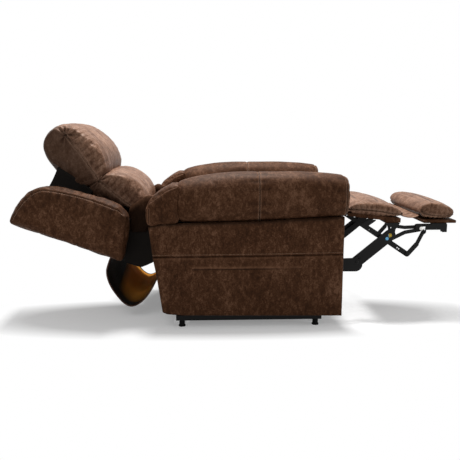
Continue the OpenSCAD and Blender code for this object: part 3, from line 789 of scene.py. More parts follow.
# %% [markdown]
# ## Seat cushion
# A foam block with a bullnose front. The top panel meets the sides in a seam, and one cross seam marks where
# the front roll starts. Its rear is cut back, so that the lower pillow has room when the back comes upright.
# %% Seat cushion
SEAT_OUTLINE = [(-288, 395), (-290, 422), (-240, 432), (-200, 462), (-182, 513), (-110, 533), (60, 535),
                (250, 535), (395, 530), (428, 517), (426, 504), (392, 488), (368, 440), (352, 395)]
seat_outline = rounded(SEAT_OUTLINE, 48, 1, True)
seat = cushion_cage("seat_bench", seat_outline, 256, 0.02, 0.10, lit_soft_leather, shrink=10)
seat_cross = np.array([(0.300, y, 0.534) for y in np.linspace(-0.25, 0.25, 9)])
seat_sides = [across(s * 248, [(-180, 517), (60, 522), (250, 522), (395, 517), (424, 508)]) for s in (-1, 1)]
inflate(seat, 0.008, 0.022, [seat_cross, *seat_sides])
fit_box(seat, "seat_cushion")
SEAT_REAR_Z = [0.425, 0.440, 0.462, 0.513, 0.533, 0.545]
SEAT_REAR_X = [-0.300, -0.230, -0.194, -0.174, -0.110, -0.060]
points = coords(seat.data)
points[:, 0] = np.maximum(points[:, 0], np.interp(points[:, 2], SEAT_REAR_Z, SEAT_REAR_X))
set_coords(seat.data, points)
for k, line in enumerate([seat_cross, *seat_sides]):
    line = pressed_line(seat, line, 60)
    sew(seat, line, 0.006, 0.007, 0.5, pucker=0.003, pitch=0.045, reach=0.05, seed=10 + k)
    stitch(seat, line, "chair", 0.006)
rumple(seat, 0.0025, 0.14, 11)
upholster(seat, "chair", ["seat_cushion"])

# %% [markdown]
# ## Footrest pads
# Two flat pads on boards. Their top panel wraps over the end into a low side seam, and shallow creases run
# across where a calf presses.
# %% Ottoman pad and extension pad
PAD_SINK = 4.0
PAD_CLEAR = 3.0


def pad(name, outline, half_w, crown, draw, seam, creases, body, node, cap, seed):
    corners = np.array(outline, float)
    pad_box = [(spot[0], side * half_w, spot[1] - PAD_SINK * (side < 0)) for spot, side in
               ((corners.min(0), -1), (corners.max(0), 1))]
    pad_box[0] = (pad_box[0][0] + PAD_CLEAR, *pad_box[0][1:])
    piece = cushion_cage(name, rounded(outline, 44, 1, True), half_w, crown, draw, lit_soft_leather, shrink=6)
    sides = [across(s * (half_w - 3), seam) for s in (-1, 1)]
    inflate(piece, 0.006, cap, sides)
    fit_corners(piece, *pad_box)
    for k, line in enumerate(sides):
        line = pressed_line(piece, line, 40)
        sew(piece, line, 0.005, 0.006, 0.7, pucker=0.0026, pitch=0.024, reach=0.022, seed=seed + k)
        stitch(piece, line, body, 0.005)
        for end in (0, -1):
            gather(piece, line[end], 0.004, 5, 0.0035, 0.022, seed + k)
    for k, (x, z) in enumerate(creases):
        ys = np.linspace(-0.24, 0.24, 13)
        line = np.array([(x * MM + 0.006 * math.sin(9 * y + k), y, z * MM) for y in ys])
        sew(piece, line, 0.0022, 0.010, 0.25)
    rumple(piece, 0.0022, 0.10, seed, (1, 0.5, 1))
    upholster(piece, body, [node])


OTTOMAN_OUTLINE = [(490, 481), (560, 475), (650, 467), (744, 460), (758, 478), (735, 508), (670, 536),
                   (590, 548), (510, 544), (486, 518)]
OTTOMAN_SEAM = [(488, 506), (560, 503), (650, 494), (752, 474)]
pad("ottoman_pad_cover", OTTOMAN_OUTLINE, 240, 0.02, 0.08, OTTOMAN_SEAM, [(560, 548), (648, 541)],
    "ottoman", "ottoman_pad", 0.018, 20)
EXTENSION_OUTLINE = [(829, 468), (841, 455.5), (985, 455.5), (995, 474), (988, 504), (944, 528), (899, 541),
                     (851, 540), (824, 514)]
EXTENSION_SEAM = [(829, 487), (880, 476), (940, 468), (992, 470)]
pad("extension_pad_cover", EXTENSION_OUTLINE, 242, 0.02, 0.07, EXTENSION_SEAM, [(905, 541), (866, 541)],
    "extension", "extension_pad", 0.018, 26)

# %% [markdown]
# ## Arm rolls
# Each arm ends in a long stuffed roll. It is one case with a sewn ring a little ahead of its middle and
# another round its front cap, so the rings are pinned while the lengths between them swell. The left roll is
# the right one mirrored.
# %% Arm rolls
ROLL_Y = 355.0
ROLL_SEAM_X = 69.0
CAP_SEAM_X = 441.0


def roll_foot(x):
    return 469 + (x + 350) / 380 * 8 if x < 30 else 477 + (x - 30) / 406 * 18


def roll_top(x):
    return 690 - 27 * (max(0, 40 - x) / 300) ** 2 - 12 * (max(0, x - 200) / 230) ** 2


def roll_size(x):
    places = [-290, -284, -274, -255, -200, -80, 50, 220, 360, 415, 440, 452, 460]
    sizes = [0.60, 0.78, 0.88, 0.94, 0.985, 1.0, 1.0, 1.0, 1.0, 0.99, 0.965, 0.92, 0.78]
    return float(np.interp(x, places, sizes))


def roll_ring(x, count=56, shrink=0.0):
    low = roll_foot(x) + 0.5
    half = (roll_top(x) - low) / 2
    size = roll_size(x)
    ring = oval(95 * size - shrink, half * size - shrink, count, 2.5)
    return [(x * MM, (-ROLL_Y + a) * MM, (low + half + b) * MM) for a, b in ring]


def roll_cage(name):
    places = np.r_[-286, -280, -270, -255, np.linspace(-235, 410, 60), 425, 438, 448, 455]
    rings = [roll_ring(x, 56, 6.0) for x in places]
    points = [p for ring in rings for p in ring]
    count = len(rings[0])
    faces = [
        (k * count + i, k * count + (i + 1) % count, (k + 1) * count + (i + 1) % count, (k + 1) * count + i)
        for k in range(len(rings) - 1)
        for i in range(count)
    ]
    faces += [tuple(reversed(range(count))), tuple(range((len(rings) - 1) * count, len(rings) * count))]
    piece = new_piece(name, points, faces, leather)
    tidy_shell(piece)
    return piece


def closed(ring):
    return np.array([*ring, ring[0]])


roll = roll_cage("right_roll_cover")
roll_rings = [closed(roll_ring(x, 48, 5.0)) for x in (ROLL_SEAM_X, CAP_SEAM_X)]
inflate(roll, 0.0065, 0.016, roll_rings)
fit_box(roll, "right_arm_roll")
ROLL_SINK = 0.009
points = coords(roll.data)
points[:, 2] -= ROLL_SINK * np.clip((0.58 - points[:, 2]) / 0.08, 0, 1)
set_coords(roll.data, points)
for k, ring in enumerate(roll_rings):
    line = pressed_line(roll, ring, 90)
    sew(roll, line, 0.0035, 0.005, 0.8, pucker=0.0014, pitch=0.045, reach=0.035, seed=30 + k,
        side=lambda p: np.clip((p[:, 2] - 0.45) / 0.05, 0, 1))
    for shift in TWIN_NEEDLE:
        stitch(roll, line, "chair", shift)
rumple(roll, 0.0018, 0.11, 31, (0.6, 1, 1))


def mirrored(piece, name):
    twin = piece.copy()
    twin.data = piece.data.copy()
    twin.name = name
    twin.data.name = name
    points = coords(twin.data)
    points[:, 1] *= -1
    set_coords(twin.data, points)
    twin.data.flip_normals()
    bpy.context.scene.collection.objects.link(twin)
    return twin


def mirror_seams(body, first):
    """Adds the twins of the stitch lines made since first."""
    for line in list(seam_lines[body][first:]):
        seam_lines[body].append([(x, -y, z) for x, y, z in line])


mirror_seams("chair", len(seam_lines["chair"]) - 4)
left_roll = mirrored(roll, "left_roll_cover")
upholster(roll, "chair", ["right_arm_roll"])
upholster(left_roll, "chair", ["left_arm_roll"])

# %% [markdown]
# ## Rear wedges and wings
# Behind each roll a small stuffed wedge falls away to the side panel, and each side of the back carries a
# broad wing. Both are boards wrapped in thin foam: the swell is small and the corners stay readable.
# %% Rear wedges
def wrapped(name, outline, half_w, middle_y, place, cap, voxel, finish, count=60, passes=1):
    outline = rounded(outline, count, passes, True)
    piece = cushion_cage(name, outline, half_w, 0.0, 0.05, finish, place, middle_y, shrink=5.0, ends=8)
    return inflate(piece, voxel, cap)


WEDGE_OUTLINE = [(-406, 462), (-416, 470), (-418, 532), (-402, 562), (-370, 586), (-330, 612), (-292, 630),
                 (-264, 636), (-262, 626), (-266, 520), (-268, 473), (-392, 460)]
wedge = wrapped("right_wedge_cover", WEDGE_OUTLINE, 89, -ROLL_Y, as_is, 0.006, 0.005, leather, 72, 0)
fit_corners(wedge, (-418, -444.5, 460), (-262, -265.5, 640))
WEDGE_TOP = [(-412, 548), (-400, 564), (-370, 588), (-330, 612), (-280, 632)]
for k, y in enumerate((-432, -276)):
    line = pressed_line(wedge, across(y, WEDGE_TOP), 40)
    sew(wedge, line, 0.003, 0.004, 0.8, pucker=0.0012, pitch=0.017, reach=0.006, seed=40 + k, dark=0.5)
corner = np.array([(-0.400, -0.445, z * MM) for z in (474, 500, 540)])
sew(wedge, pressed_line(wedge, corner, 20), 0.002, 0.0035, 1.0)
rumple(wedge, 0.0012, 0.05, 41)
left_wedge = mirrored(wedge, "left_wedge_cover")
upholster(wedge, "chair", ["right_rear_wedge"])
upholster(left_wedge, "chair", ["left_rear_wedge"])

# %% [markdown]
# The wing is made the same way. Its lower corner is pulled out again after the swelling, which rounds it.
# %% Wings
WING_OUTLINE = [(-168, 679), (-65, 656), (2, 611), (23, 553), (42, 392), (33, 211), (-69, 193), (-183, 171),
                (-190, 228), (-184, 666)]
WING_MIDDLE_Y = -345.3
wing = wrapped("right_wing_cover", WING_OUTLINE, 53, WING_MIDDLE_Y, on_back, 0.008, 0.0065, leather, 90)
fit_box(wing, "right_wing")
WING_FOOT = (-178, 176)
FOOT_PULL = 14.0
FOOT_REACH = 26.0
flat = drawn_at(coords(wing.data), on_back)
pull = FOOT_PULL * np.exp(-((np.linalg.norm(flat - WING_FOOT, axis=1) / FOOT_REACH) ** 2))
foot_way = np.array(on_back((-0.75, -0.66))) - np.array(on_back((0, 0)))
points = coords(wing.data)
points[:, [0, 2]] += pull[:, None] * foot_way * MM
set_coords(wing.data, points)
WING_EDGE = [(-160, 668), (-66, 646), (-6, 604), (14, 550), (32, 391), (23, 222)]
for k, y in enumerate((-396, -294)):
    line = pressed_line(wing, across(y, rounded(WING_EDGE, 60), on_back), 90)
    sew(wing, line, 0.003, 0.0040, 0.5, pucker=0.0012, pitch=0.04, reach=0.03, seed=44 + k, dark=0.6)
    stitch(wing, line, "back", -0.005)
rumple(wing, 0.0016, 0.12, 45)
mirror_seams("back", len(seam_lines["back"]) - 2)
left_wing = mirrored(wing, "left_wing_cover")
upholster(wing, "back", ["right_wing"])
upholster(left_wing, "back", ["left_wing"])

# %% [markdown]
# ## Upholstered panels
# The box of the chair is board covered with thin foam and leather. Each panel is a patch stretched between
# its four edges, with the edges rolled back, so that two panels that meet leave the dark valley of a seam.
# %% Panel patch
def patch(bottom, top, left, right, s_list, t_list):
    """A surface stretched between four edge lines, as rows of points."""
    lines = [np.asarray(e, float) for e in (bottom, top, left, right)]

    def at(line, shares):
        steps = np.r_[0, np.cumsum(np.linalg.norm(np.diff(line, axis=0), axis=1))]
        wanted = np.asarray(shares) * steps[-1]
        return np.stack([np.interp(wanted, steps, line[:, k]) for k in range(line.shape[1])], 1)

    b, t = at(lines[0], s_list), at(lines[1], s_list)
    l, r = at(lines[2], t_list), at(lines[3], t_list)
    s, q = np.asarray(s_list)[None, :, None], np.asarray(t_list)[:, None, None]
    corners = ((1 - s) * (1 - q) * b[0] + s * (1 - q) * b[-1] + (1 - s) * q * t[0] + s * q * t[-1])
    return (1 - q) * b[None] + q * t[None] + (1 - s) * l[:, None] + s * r[:, None] - corners


def edge_steps(length, step, roll_r):
    near = roll_r * np.array([0, 0.05, 0.18, 0.38, 0.65, 1.0]) / length
    middle = np.linspace(near[-1], 1 - near[-1], max(3, int(length / step)))
    return np.r_[near[:-1], middle, 1 - near[:-1][::-1]]


def panel(name, edges, size, depth_in, depth_out, roll_r, place, finish, step=4.5, swell=1.0, seed=1):
    """A slab between depth_in and depth_out; place(a, b, depth) puts its points, in millimetres."""
    s_list, t_list = edge_steps(size[0], step, roll_r), edge_steps(size[1], step, roll_r)
    grid = patch(*edges, s_list, t_list)
    rows, columns = grid.shape[:2]
    points = []
    for j, t in enumerate(t_list):
        for i, s in enumerate(s_list):
            border = min(s * size[0], (1 - s) * size[0], t * size[1], (1 - t) * size[1])
            drop = roll_r - math.sqrt(max(0, roll_r**2 - max(0, roll_r - border) ** 2))
            full = swell * min(1, border / 60)
            points.append(place(*grid[j, i], depth_out - drop * np.sign(depth_out - depth_in) + full - swell))
    front = len(points)
    points += [place(*grid[j, i], depth_in) for j in range(rows) for i in range(columns)]
    faces = []
    for base, turn in ((0, 1), (front, -1)):
        for j in range(rows - 1):
            for i in range(columns - 1):
                a = base + j * columns + i
                quad = (a, a + 1, a + columns + 1, a + columns)
                faces.append(quad[::turn])
    rim = [i for i in range(columns)] + [j * columns + columns - 1 for j in range(1, rows)]
    rim += [(rows - 1) * columns + i for i in range(columns - 2, -1, -1)]
    rim += [j * columns for j in range(rows - 2, 0, -1)]
    for a, b in zip(rim, rim[1:] + rim[:1]):
        faces.append((b, a, a + front, b + front))
    piece = new_piece(name, [np.array(p) * MM for p in points], faces, finish)
    tidy_shell(piece)
    moved = coords(piece.data)
    lumps = wobble(moved, 0.10, seed, (0.45, 1, 1)) + 0.5 * wobble(moved, 0.045, seed + 2, (0.6, 1, 1))
    away = np.array([np.array(place(0, 0, 1.0)) - np.array(place(0, 0, 0.0))])
    facing = np.clip(normals(piece.data) @ away[0] * np.sign(depth_out - depth_in), 0, 1)
    set_coords(piece.data, moved + normals(piece.data) * (0.0019 * lumps * facing)[:, None])
    return piece


def edge_wear(piece, lines, width=0.005, strength=0.9):
    for line in lines:
        gap, _ = seam_distance(coords(piece.data), line)
        add_to(piece.data, "wear", strength * np.exp(-((gap / width) ** 2)))


# %% [markdown]
# ## Side panels of the box
# One seam crosses each outer side. Below it a hemmed pocket edge shows as a thin raised line. The panel is
# made as an upper band and a lower field, each with its own rolled edges.
# %% Outer side panels
OUT_Y = 430.0
SIDE_IN_Y = 405.3
SEAM_LINE = [(-387, 329.5), (30, 331), (425, 335), (436, 335)]


def side_place(side):
    return lambda a, b, depth: (a, side * depth, b)


def cover_pair(piece, node=None):
    """Mirrors a cover to the left arm; each stands for its own side's node, if one is named."""
    twin = mirrored(piece, piece.name.replace("right", "left"))
    for cover, side in ((piece, "right"), (twin, "left")):
        upholster(cover, "chair", [f"{side}_{node}"] if node else [])


upper_edges = ([(p[0], p[1] + 0.6) for p in SEAM_LINE],
               [(-403, 464), (-350, 473), (30, 481), (436, 499)],
               [(-387, 330.1), (-403, 464)],
               [(436, 335.6), (436, 499)])
lower_edges = ([(-349, 85), (-330, 76), (-259, 70), (0, 66), (436, 60)],
               [(p[0], p[1] - 0.6) for p in SEAM_LINE],
               [(-349, 85), (-372, 245), (-387, 328.9)],
               [(436, 60), (436, 334.4)])
band = panel("right_side_band", upper_edges, (815, 150), SIDE_IN_Y, OUT_Y, 7, side_place(-1), leather,
             swell=1.5, seed=50)
field = panel("right_side_field", lower_edges, (800, 262), SIDE_IN_Y, OUT_Y, 7, side_place(-1), leather,
              swell=1.5, seed=51)
seam_3d = np.array([(x * MM, -OUT_Y * MM, z * MM) for x, z in SEAM_LINE])
roll_line = np.array([(x * MM, -OUT_Y * MM, z * MM) for x, z in upper_edges[1]])
hem_line = np.array([(x * MM, -0.430, (283 + 0.8 * math.sin(x / 40)) * MM) for x in range(-217, 258, 12)])
for piece in (band, field):
    edge_wear(piece, [seam_3d + (0, 0, s * 0.0075) for s in (-1, 1)], 0.003, 0.32)
# Painted shade under the overhang of the roll and in the groove of the seam.
for piece in (band, field):
    gap, _ = seam_distance(coords(piece.data), roll_line)
    add_to(piece.data, "crease", np.exp(-((gap / 0.010) ** 2)))
    gap, _ = seam_distance(coords(piece.data), seam_3d)
    add_to(piece.data, "crease", np.exp(-((gap / 0.0028) ** 2)))
sew(field, hem_line, -0.0022, 0.0045, 0.0)
sew(field, hem_line - (0, 0, 0.008), 0.0016, 0.004, 0.0)
gap, _ = seam_distance(coords(field.data), hem_line)
add_to(field.data, "wear", 0.95 * np.exp(-((gap / 0.0042) ** 2)))
cover_pair(band)
cover_pair(field, "outer_panel")
band_stitches = on_surface(band, seam_3d + (0, 0, 0.010))
for flip in (1, -1):
    seam_lines["chair"].append([(x, flip * y, z) for x, y, z in band_stitches])
print("side panels:", len(band.data.polygons), len(field.data.polygons))

# %% [markdown]
# ## Inner, front and back panels
# The same patch makes the smooth inner face of each arm, the strip below each roll at the front, and the
# wide panel that closes the back.
# %% Other panels
def front_place(side):
    return lambda a, b, depth: (depth, side * a, b)


def back_place(a, b, depth):
    x, z = on_back((depth, b))
    return (x, a, z)


def box_edges(a0, a1, b0, b1):
    return ([(a0, b0), (a1, b0)], [(a0, b1), (a1, b1)], [(a0, b0), (a0, b1)], [(a1, b0), (a1, b1)])


inner = panel("right_inner_cover", box_edges(-300, 411.7, 150, 466), (711, 316), 290, 272, 5,
              side_place(-1), leather, step=9.0, seed=60)
cover_pair(inner, "inner_panel")
front = panel("right_front_cover", box_edges(272, 404.6, 64, 491), (132, 427), 412, 436, 6,
              front_place(-1), leather, step=6.0, swell=1.5, seed=62)
cover_pair(front, "front_panel")

# %% [markdown]
# The rear of each arm leans, so its cover is the same patch on a slanted plane. It stands for no part of the
# frame, and only closes the box.
# %% Rear covers
REAR_Z = [84, 245, 330, 462]
REAR_X = [-349, -372, -387, -403]


def rear_place(a, b, depth):
    return (float(np.interp(b, REAR_Z, REAR_X)) + depth, -a, b)


rear = panel("right_rear_cover", box_edges(272, 404.6, 84, 458), (132, 374), 12, 0, 5,
             rear_place, leather, step=6.0, swell=1.5, seed=66)
cover_pair(rear)
print("rear covers:", len(rear.data.polygons), "faces each")

# %% [markdown]
# One wide panel closes the back from behind. It is drawn tight over its board, so it swells least.
# %% Back panel
back_cover = panel("back_outer_cover", box_edges(-291.4, 291.4, 176, 668), (582, 492), -178, -190, 4,
                   back_place, leather, step=6.0, swell=0.5, seed=64)
upholster(back_cover, "back", ["back_outer_panel"])

# %% [markdown]
# ## Extension board
# A board wrapped in leather, drawn tight, with soft edges.
# %% Wrapped board
def wrapped_board(name, node, finish, soft=0.004):
    low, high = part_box(node)
    shape = bmesh.new()
    bmesh.ops.create_cube(shape, size=1.0)
    for vertex in shape.verts:
        for axis in range(3):
            vertex.co[axis] = low[axis] if vertex.co[axis] < 0 else high[axis]
    bmesh.ops.bevel(shape, geom=list(shape.edges), offset=soft, segments=4, profile=0.5, affect="EDGES")
    mesh = bpy.data.meshes.new(name)
    shape.to_mesh(mesh)
    shape.free()
    board = bpy.data.objects.new(name, mesh)
    bpy.context.scene.collection.objects.link(board)
    mesh.materials.append(finish)
    smooth_faces(board)
    return board


board = wrapped_board("extension_board_cover", "extension_board", leather)
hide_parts("extension_board")
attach(board, "extension")
print("board:", len(board.data.polygons), "faces")

# %% [markdown]
# ## Hanging cloth
# A backing cloth hangs from the foot of the back to the seat, black outside, with a leather hem along both
# edges. Its lining is orange-brown, painted so only where light falls into it, and painted black as shade
# elsewhere. Draping it by simulation would lose the place of its two sewn ends, so it is swept along its
# hanging line, and slow folds are added across it.
# %% Back skirt
SKIRT_PATH = [(-581, 322), (-604, 272), (-619, 223), (-601, 160), (-568, 110), (-536, 74), (-506, 60),
              (-470, 72), (-438, 100), (-410, 140), (-390, 179), (-368, 220)]
SKIRT_HALF = 254.0
SKIRT_FAR = (46, 24)


def outward(piece):
    """Turns a closed sheet's faces outward, if its volume says they point in."""
    solid = bmesh.new()
    solid.from_mesh(piece.data)
    wrong = solid.calc_volume(signed=True) < 0
    solid.free()
    if wrong:
        piece.data.flip_normals()


def swept_sheet(name, path, half_w, thick, rows, columns, sag, finish, seed, far=(0, 0)):
    """Sweeps a cloth along a path of (x, z), in millimetres; far shifts the belly of its left edge.

    It gives the piece, each point's share of the way along, which faces are the lining, and the rows.
    """
    path = resample(path, rows)
    step = np.gradient(path, axis=0)
    step /= np.linalg.norm(step, axis=1, keepdims=True)
    across_way = np.stack([-step[:, 1], step[:, 0]], 1)
    widths = np.linspace(-half_w, half_w, columns)
    sides = []
    for side in (1, -1):
        rows_made = []
        for i in range(rows):
            share = i / (rows - 1)
            held = math.sin(math.pi * share) ** 0.7
            for y in widths:
                spot = Vector((share * 3, y / 130, seed))
                fold = sag * held * noise.noise(spot)
                x, z = path[i] + across_way[i] * (fold + side * thick / 2)
                x += far[0] * held * (y + half_w) / half_w / 2
                z += far[1] * held * (y + half_w) / half_w / 2
                rows_made.append((x * MM, y * MM, z * MM))
        sides.append(rows_made)
    points = sides[0] + sides[1]
    half = rows * columns
    faces, inside = [], []
    for i in range(rows - 1):
        for j in range(columns - 1):
            a = i * columns + j
            faces.append((a, a + 1, a + columns + 1, a + columns))
            faces.append((a + half, a + columns + half, a + columns + 1 + half, a + 1 + half))
            inside += [1, 0]
    rim = list(range(columns)) + [i * columns + columns - 1 for i in range(1, rows)]
    rim += [(rows - 1) * columns + j for j in range(columns - 2, -1, -1)]
    rim += [i * columns for i in range(rows - 2, 0, -1)]
    for a, b in zip(rim, rim[1:] + rim[:1]):
        faces.append((b, a, a + half, b + half))
        inside.append(0)
    piece = new_piece(name, points, faces, finish)
    along = np.tile(np.repeat(np.linspace(0, 1, rows), columns), 2)
    smooth_faces(piece)
    outward(piece)
    return piece, along, inside, np.array(sides[0]).reshape(rows, columns, 3)


skirt, _, inside, skirt_rows = swept_sheet("back_skirt_cloth", rounded(SKIRT_PATH, 60), SKIRT_HALF,
                                           thick=2.6, rows=72, columns=64, sag=9.0,
                                           finish=black_cloth, seed=3, far=SKIRT_FAR)
skirt.data.materials.append(lining)
skirt.data.polygons.foreach_set("material_index", inside)
skirt_points = coords(skirt.data)
# Painted light and shade: the lining shows its orange-brown only where light reaches it, and black elsewhere.
lit = np.clip((skirt_points[:, 0] + 0.572) / 0.025, 0, 1)
lit = lit * np.clip((skirt_points[:, 1] + 0.20) / 0.14, 0, 1)
store(skirt.data, "along", lit)
print("skirt area m2:", round(sum(f.area for f in skirt.data.polygons) / 2, 3))

# %% [markdown]
# ## Footrest flap
# A strip of leather bridges the two footrest pads and sags a little.
# %% Flap
FLAP_PATH = [(752.5, 471.2), (775, 464.6), (795, 462.8), (815, 466.8), (829, 473.6)]
RIPPLE = 0.0016
flap, flap_along, _, _ = swept_sheet("footrest_flap_cover", rounded(FLAP_PATH, 30), 226.0,
                                     thick=3.0, rows=20, columns=90, sag=0.0, finish=lit_soft_leather, seed=5)
flap_points = coords(flap.data)
flap_y = flap_points[:, 1]
ripple = RIPPLE * np.sin(flap_y * 150 + 3 * np.sin(flap_y * 21)) * np.sin(np.pi * flap_along)
flap_points[:, 2] += ripple
set_coords(flap.data, flap_points)
# Ripple crests get a painted highlight, and troughs painted shade.
add_to(flap.data, "wear", np.clip(ripple / RIPPLE, 0, 1) * 0.7)
add_to(flap.data, "crease", np.clip(-ripple / RIPPLE, 0, 1) ** 2 * 0.6)
print("flap faces:", len(flap.data.polygons))

# %% [markdown]
# ## Cover of the back's foot
# Black cloth is wrapped round the foot of the back, over its frame, to hide the pivot.
# %% Lower back cover
COVER_PATH = [(-66, -30), (-120, 6), (-183, 48), (-221, 89), (-221, 165), (-190, 175.7)]


def back_line(path):
    return [on_back(p) for p in path]


foot_line = back_line(rounded(COVER_PATH, 40))
foot_cover = swept_sheet("lower_back_cloth", foot_line, 254.5, thick=3.0, rows=44, columns=70, sag=2.0,
                         finish=black_cloth, seed=9)[0]
print("foot cover faces:", len(foot_cover.data.polygons))

# %% [markdown]
# The two sides of that cover are flat gussets of the same cloth.
# %% Gussets
def gusset(name, outline, y, thick, finish):
    ring = [(place[0] * MM, place[1] * MM) for place in outline]
    count = len(ring)
    centre = np.mean(ring, axis=0)
    points, faces = [], []
    for side in (0, 1):
        for share in (1.0, 0.66, 0.33):
            for x, z in ring:
                points.append((centre[0] + (x - centre[0]) * share, (y + side * thick) * MM,
                               centre[1] + (z - centre[1]) * share))
        points.append((centre[0], (y + side * thick) * MM, centre[1]))
    half = 3 * count + 1
    for side in (0, 1):
        base = side * half
        for k in range(2):
            for i in range(count):
                n = (i + 1) % count
                faces.append((base + k * count + i, base + k * count + n, base + (k + 1) * count + n,
                              base + (k + 1) * count + i))
        for i in range(count):
            faces.append((base + 2 * count + i, base + 2 * count + (i + 1) % count, base + 3 * count))
    for i in range(count):
        n = (i + 1) % count
        faces.append((i, n, half + n, half + i))
    piece = new_piece(name, points, faces, finish)
    tidy_shell(piece)
    return piece


GUSSET = [(-183, 46), (-222, 89), (-222, 167), (-186, 177), (-60, 218), (-20, 205), (-15, 60), (-62, -30)]
BOXING = [(24, 222), (44, 214), (62, 196), (104, 164), (112, 140), (90, 100), (-46, 90), (-88, 203)]
gusset_line = back_line(rounded(GUSSET, 72, 0, True))
near_gusset = gusset("right_back_gusset", gusset_line, -255.5, 3.0, black_cloth)
far_gusset = mirrored(near_gusset, "left_back_gusset")
near_boxing = gusset("right_back_boxing", back_line(rounded(BOXING, 90, 1, True)), -260, 11.0, leather)
boxing_edge = across(-259, BOXING[:5], on_back)
gap, _ = seam_distance(coords(near_boxing.data), boxing_edge)
add_to(near_boxing.data, "wear", np.exp(-((gap / 0.012) ** 2)))
# Painted shade: the boxing darkens towards its lower part and away from its worn top edge.
height = coords(near_boxing.data)[:, 2]
shade = np.clip(1.05 - (height - 0.500) / 0.075, 0.3, 1)
store(near_boxing.data, "crease", shade * np.clip(gap / 0.02, 0, 1))
far_boxing = mirrored(near_boxing, "left_back_boxing")
for piece in (near_boxing, far_boxing):
    upholster(piece, "back", [])
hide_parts("lower_back_cover")
for piece in (foot_cover, near_gusset, far_gusset):
    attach(piece, "back")
print("gussets:", near_gusset.name, far_gusset.name)

# %% [markdown]
# The head end of the back is closed by a leather crown that runs between the wings and follows their round
# shoulders.
# %% Crown of the back
CROWN_PATH = [(-186, 660), (-187, 676), (-176, 681), (-130, 668), (-78, 650), (-44, 626), (-22, 600),
              (-16, 584)]
crown_line = back_line(rounded(CROWN_PATH, 40))
crown = swept_sheet("back_crown_cover", crown_line, 291.0, thick=5.0, rows=40, columns=90, sag=1.5,
                    finish=leather, seed=12)[0]
upholster(crown, "back", [])
print("crown faces:", len(crown.data.polygons))

# %% [markdown]
# ## Back frame under its cover
# The top rail of the back is shaved to follow the round shoulder of the wings. The frame's own mesh stays as
# it is, so the shaving is done on a merged copy that stands for it.
# %% Shaved back frame
SHOULDER_U = [540, 600, 640, 679]
SHOULDER_V = [12, -30, -80, -186]


def shaved_copy(name, node, finish, body):
    piece = bpy.data.objects.new(name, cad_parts[node].data.copy())
    bpy.context.scene.collection.objects.link(piece)
    tidy_shell(piece)
    points = coords(piece.data)
    flat = drawn_at(points, on_back)
    flat[:, 0] = np.minimum(flat[:, 0], np.interp(flat[:, 1], SHOULDER_U, SHOULDER_V))
    spots = np.array([on_back(p) for p in flat]) * MM
    set_coords(piece.data, np.c_[spots[:, 0], points[:, 1], spots[:, 1]])
    piece.data.materials.clear()
    piece.data.materials.append(finish)
    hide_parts(node)
    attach(piece, body)
    return piece


back_core = shaved_copy("back_frame_covered", "back_frame", black_cloth, "back")
print("back frame copy:", len(back_core.data.polygons), "faces")

# %% [markdown]
# ## Boot under the headrest
# A black cloth boot closes the gap between the tilting headrest and the back. It is a ruled surface between a
# line round the back and a line round the headrest, slightly slack.
# %% Boot
BOOT_FOOT = [(-4, 404), (-4, 500), (-4, 586)]
BOOT_HEAD = [(40, 12), (40, 100), (30, 196)]
BOOT_HALF = 256.0


def boot_line(side_line, place, half_w, count):
    spots = [place(q) for q in side_line]
    near = [(x, -half_w, z) for x, z in spots]
    return resample(near + [(x, -y, z) for x, y, z in near[::-1]], count)


def boot(name, rows=12, columns=120, slack=7.0, thick=1.6):
    foot_line = boot_line(BOOT_FOOT, on_back, BOOT_HALF, columns)
    head_line = boot_line(BOOT_HEAD, on_head, BOOT_HALF, columns)
    points, faces = [], []
    centre = (foot_line.mean(0) + head_line.mean(0)) / 2
    for j in range(rows):
        t = j / (rows - 1)
        for i in range(columns):
            spot = foot_line[i] * (1 - t) + head_line[i] * t
            inward = centre - spot
            inward /= np.linalg.norm(inward)
            fold = slack * math.sin(math.pi * t) * (1 + 0.5 * noise.noise(Vector((i / 9, t * 2, 4.0))))
            points.append((spot + inward * fold) * MM)
    for j in range(rows - 1):
        for i in range(columns - 1):
            a = j * columns + i
            faces.append((a, a + 1, a + columns + 1, a + columns))
    piece = new_piece(name, points, faces, black_cloth)
    tidy_shell(piece)
    wall = piece.modifiers.new("cloth", "SOLIDIFY")
    wall.thickness = thick * MM
    wall.offset = 0.0
    flatten(piece)
    smooth_faces(piece)
    return piece


head_boot = boot("headrest_boot")
boot_low, boot_high = on_back((0, 500)), on_head((14, 110))
boot_low[0] * MM
boot_low[1] * MM
boot_high[0] * MM
boot_high[1] * MM
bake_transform(head_boot)

# %% [markdown]
# ## Geometry Nodes: one tree for seams
# A seam is a line, and its stitches are one short bead of thread repeated along it. The tree turns a chain of
# edges into a curve, spaces points on it, turns a bead along each and makes it all real. Pitch, length and
# thickness are named inputs.
# %% The stitch tree
def tree_with(name, inputs):
    tree = bpy.data.node_groups.new(name, "GeometryNodeTree")
    tree.interface.new_socket("Geometry", in_out="INPUT", socket_type="NodeSocketGeometry")
    tree.interface.new_socket("Geometry", in_out="OUTPUT", socket_type="NodeSocketGeometry")
    for label, kind, value in inputs:
        socket = tree.interface.new_socket(label, in_out="INPUT", socket_type=kind)
        if value is not None:
            socket.default_value = value
    graph = Graph(tree)
    return tree, graph, graph.node("NodeGroupInput")


def finish_tree(graph, geometry, material_wire):
    real = graph.node("GeometryNodeRealizeInstances", None, {"Geometry": geometry})["Geometry"]
    sockets = {"Geometry": real, "Material": material_wire}
    dressed = graph.node("GeometryNodeSetMaterial", None, sockets)["Geometry"]
    graph.node("NodeGroupOutput", None, {"Geometry": dressed})


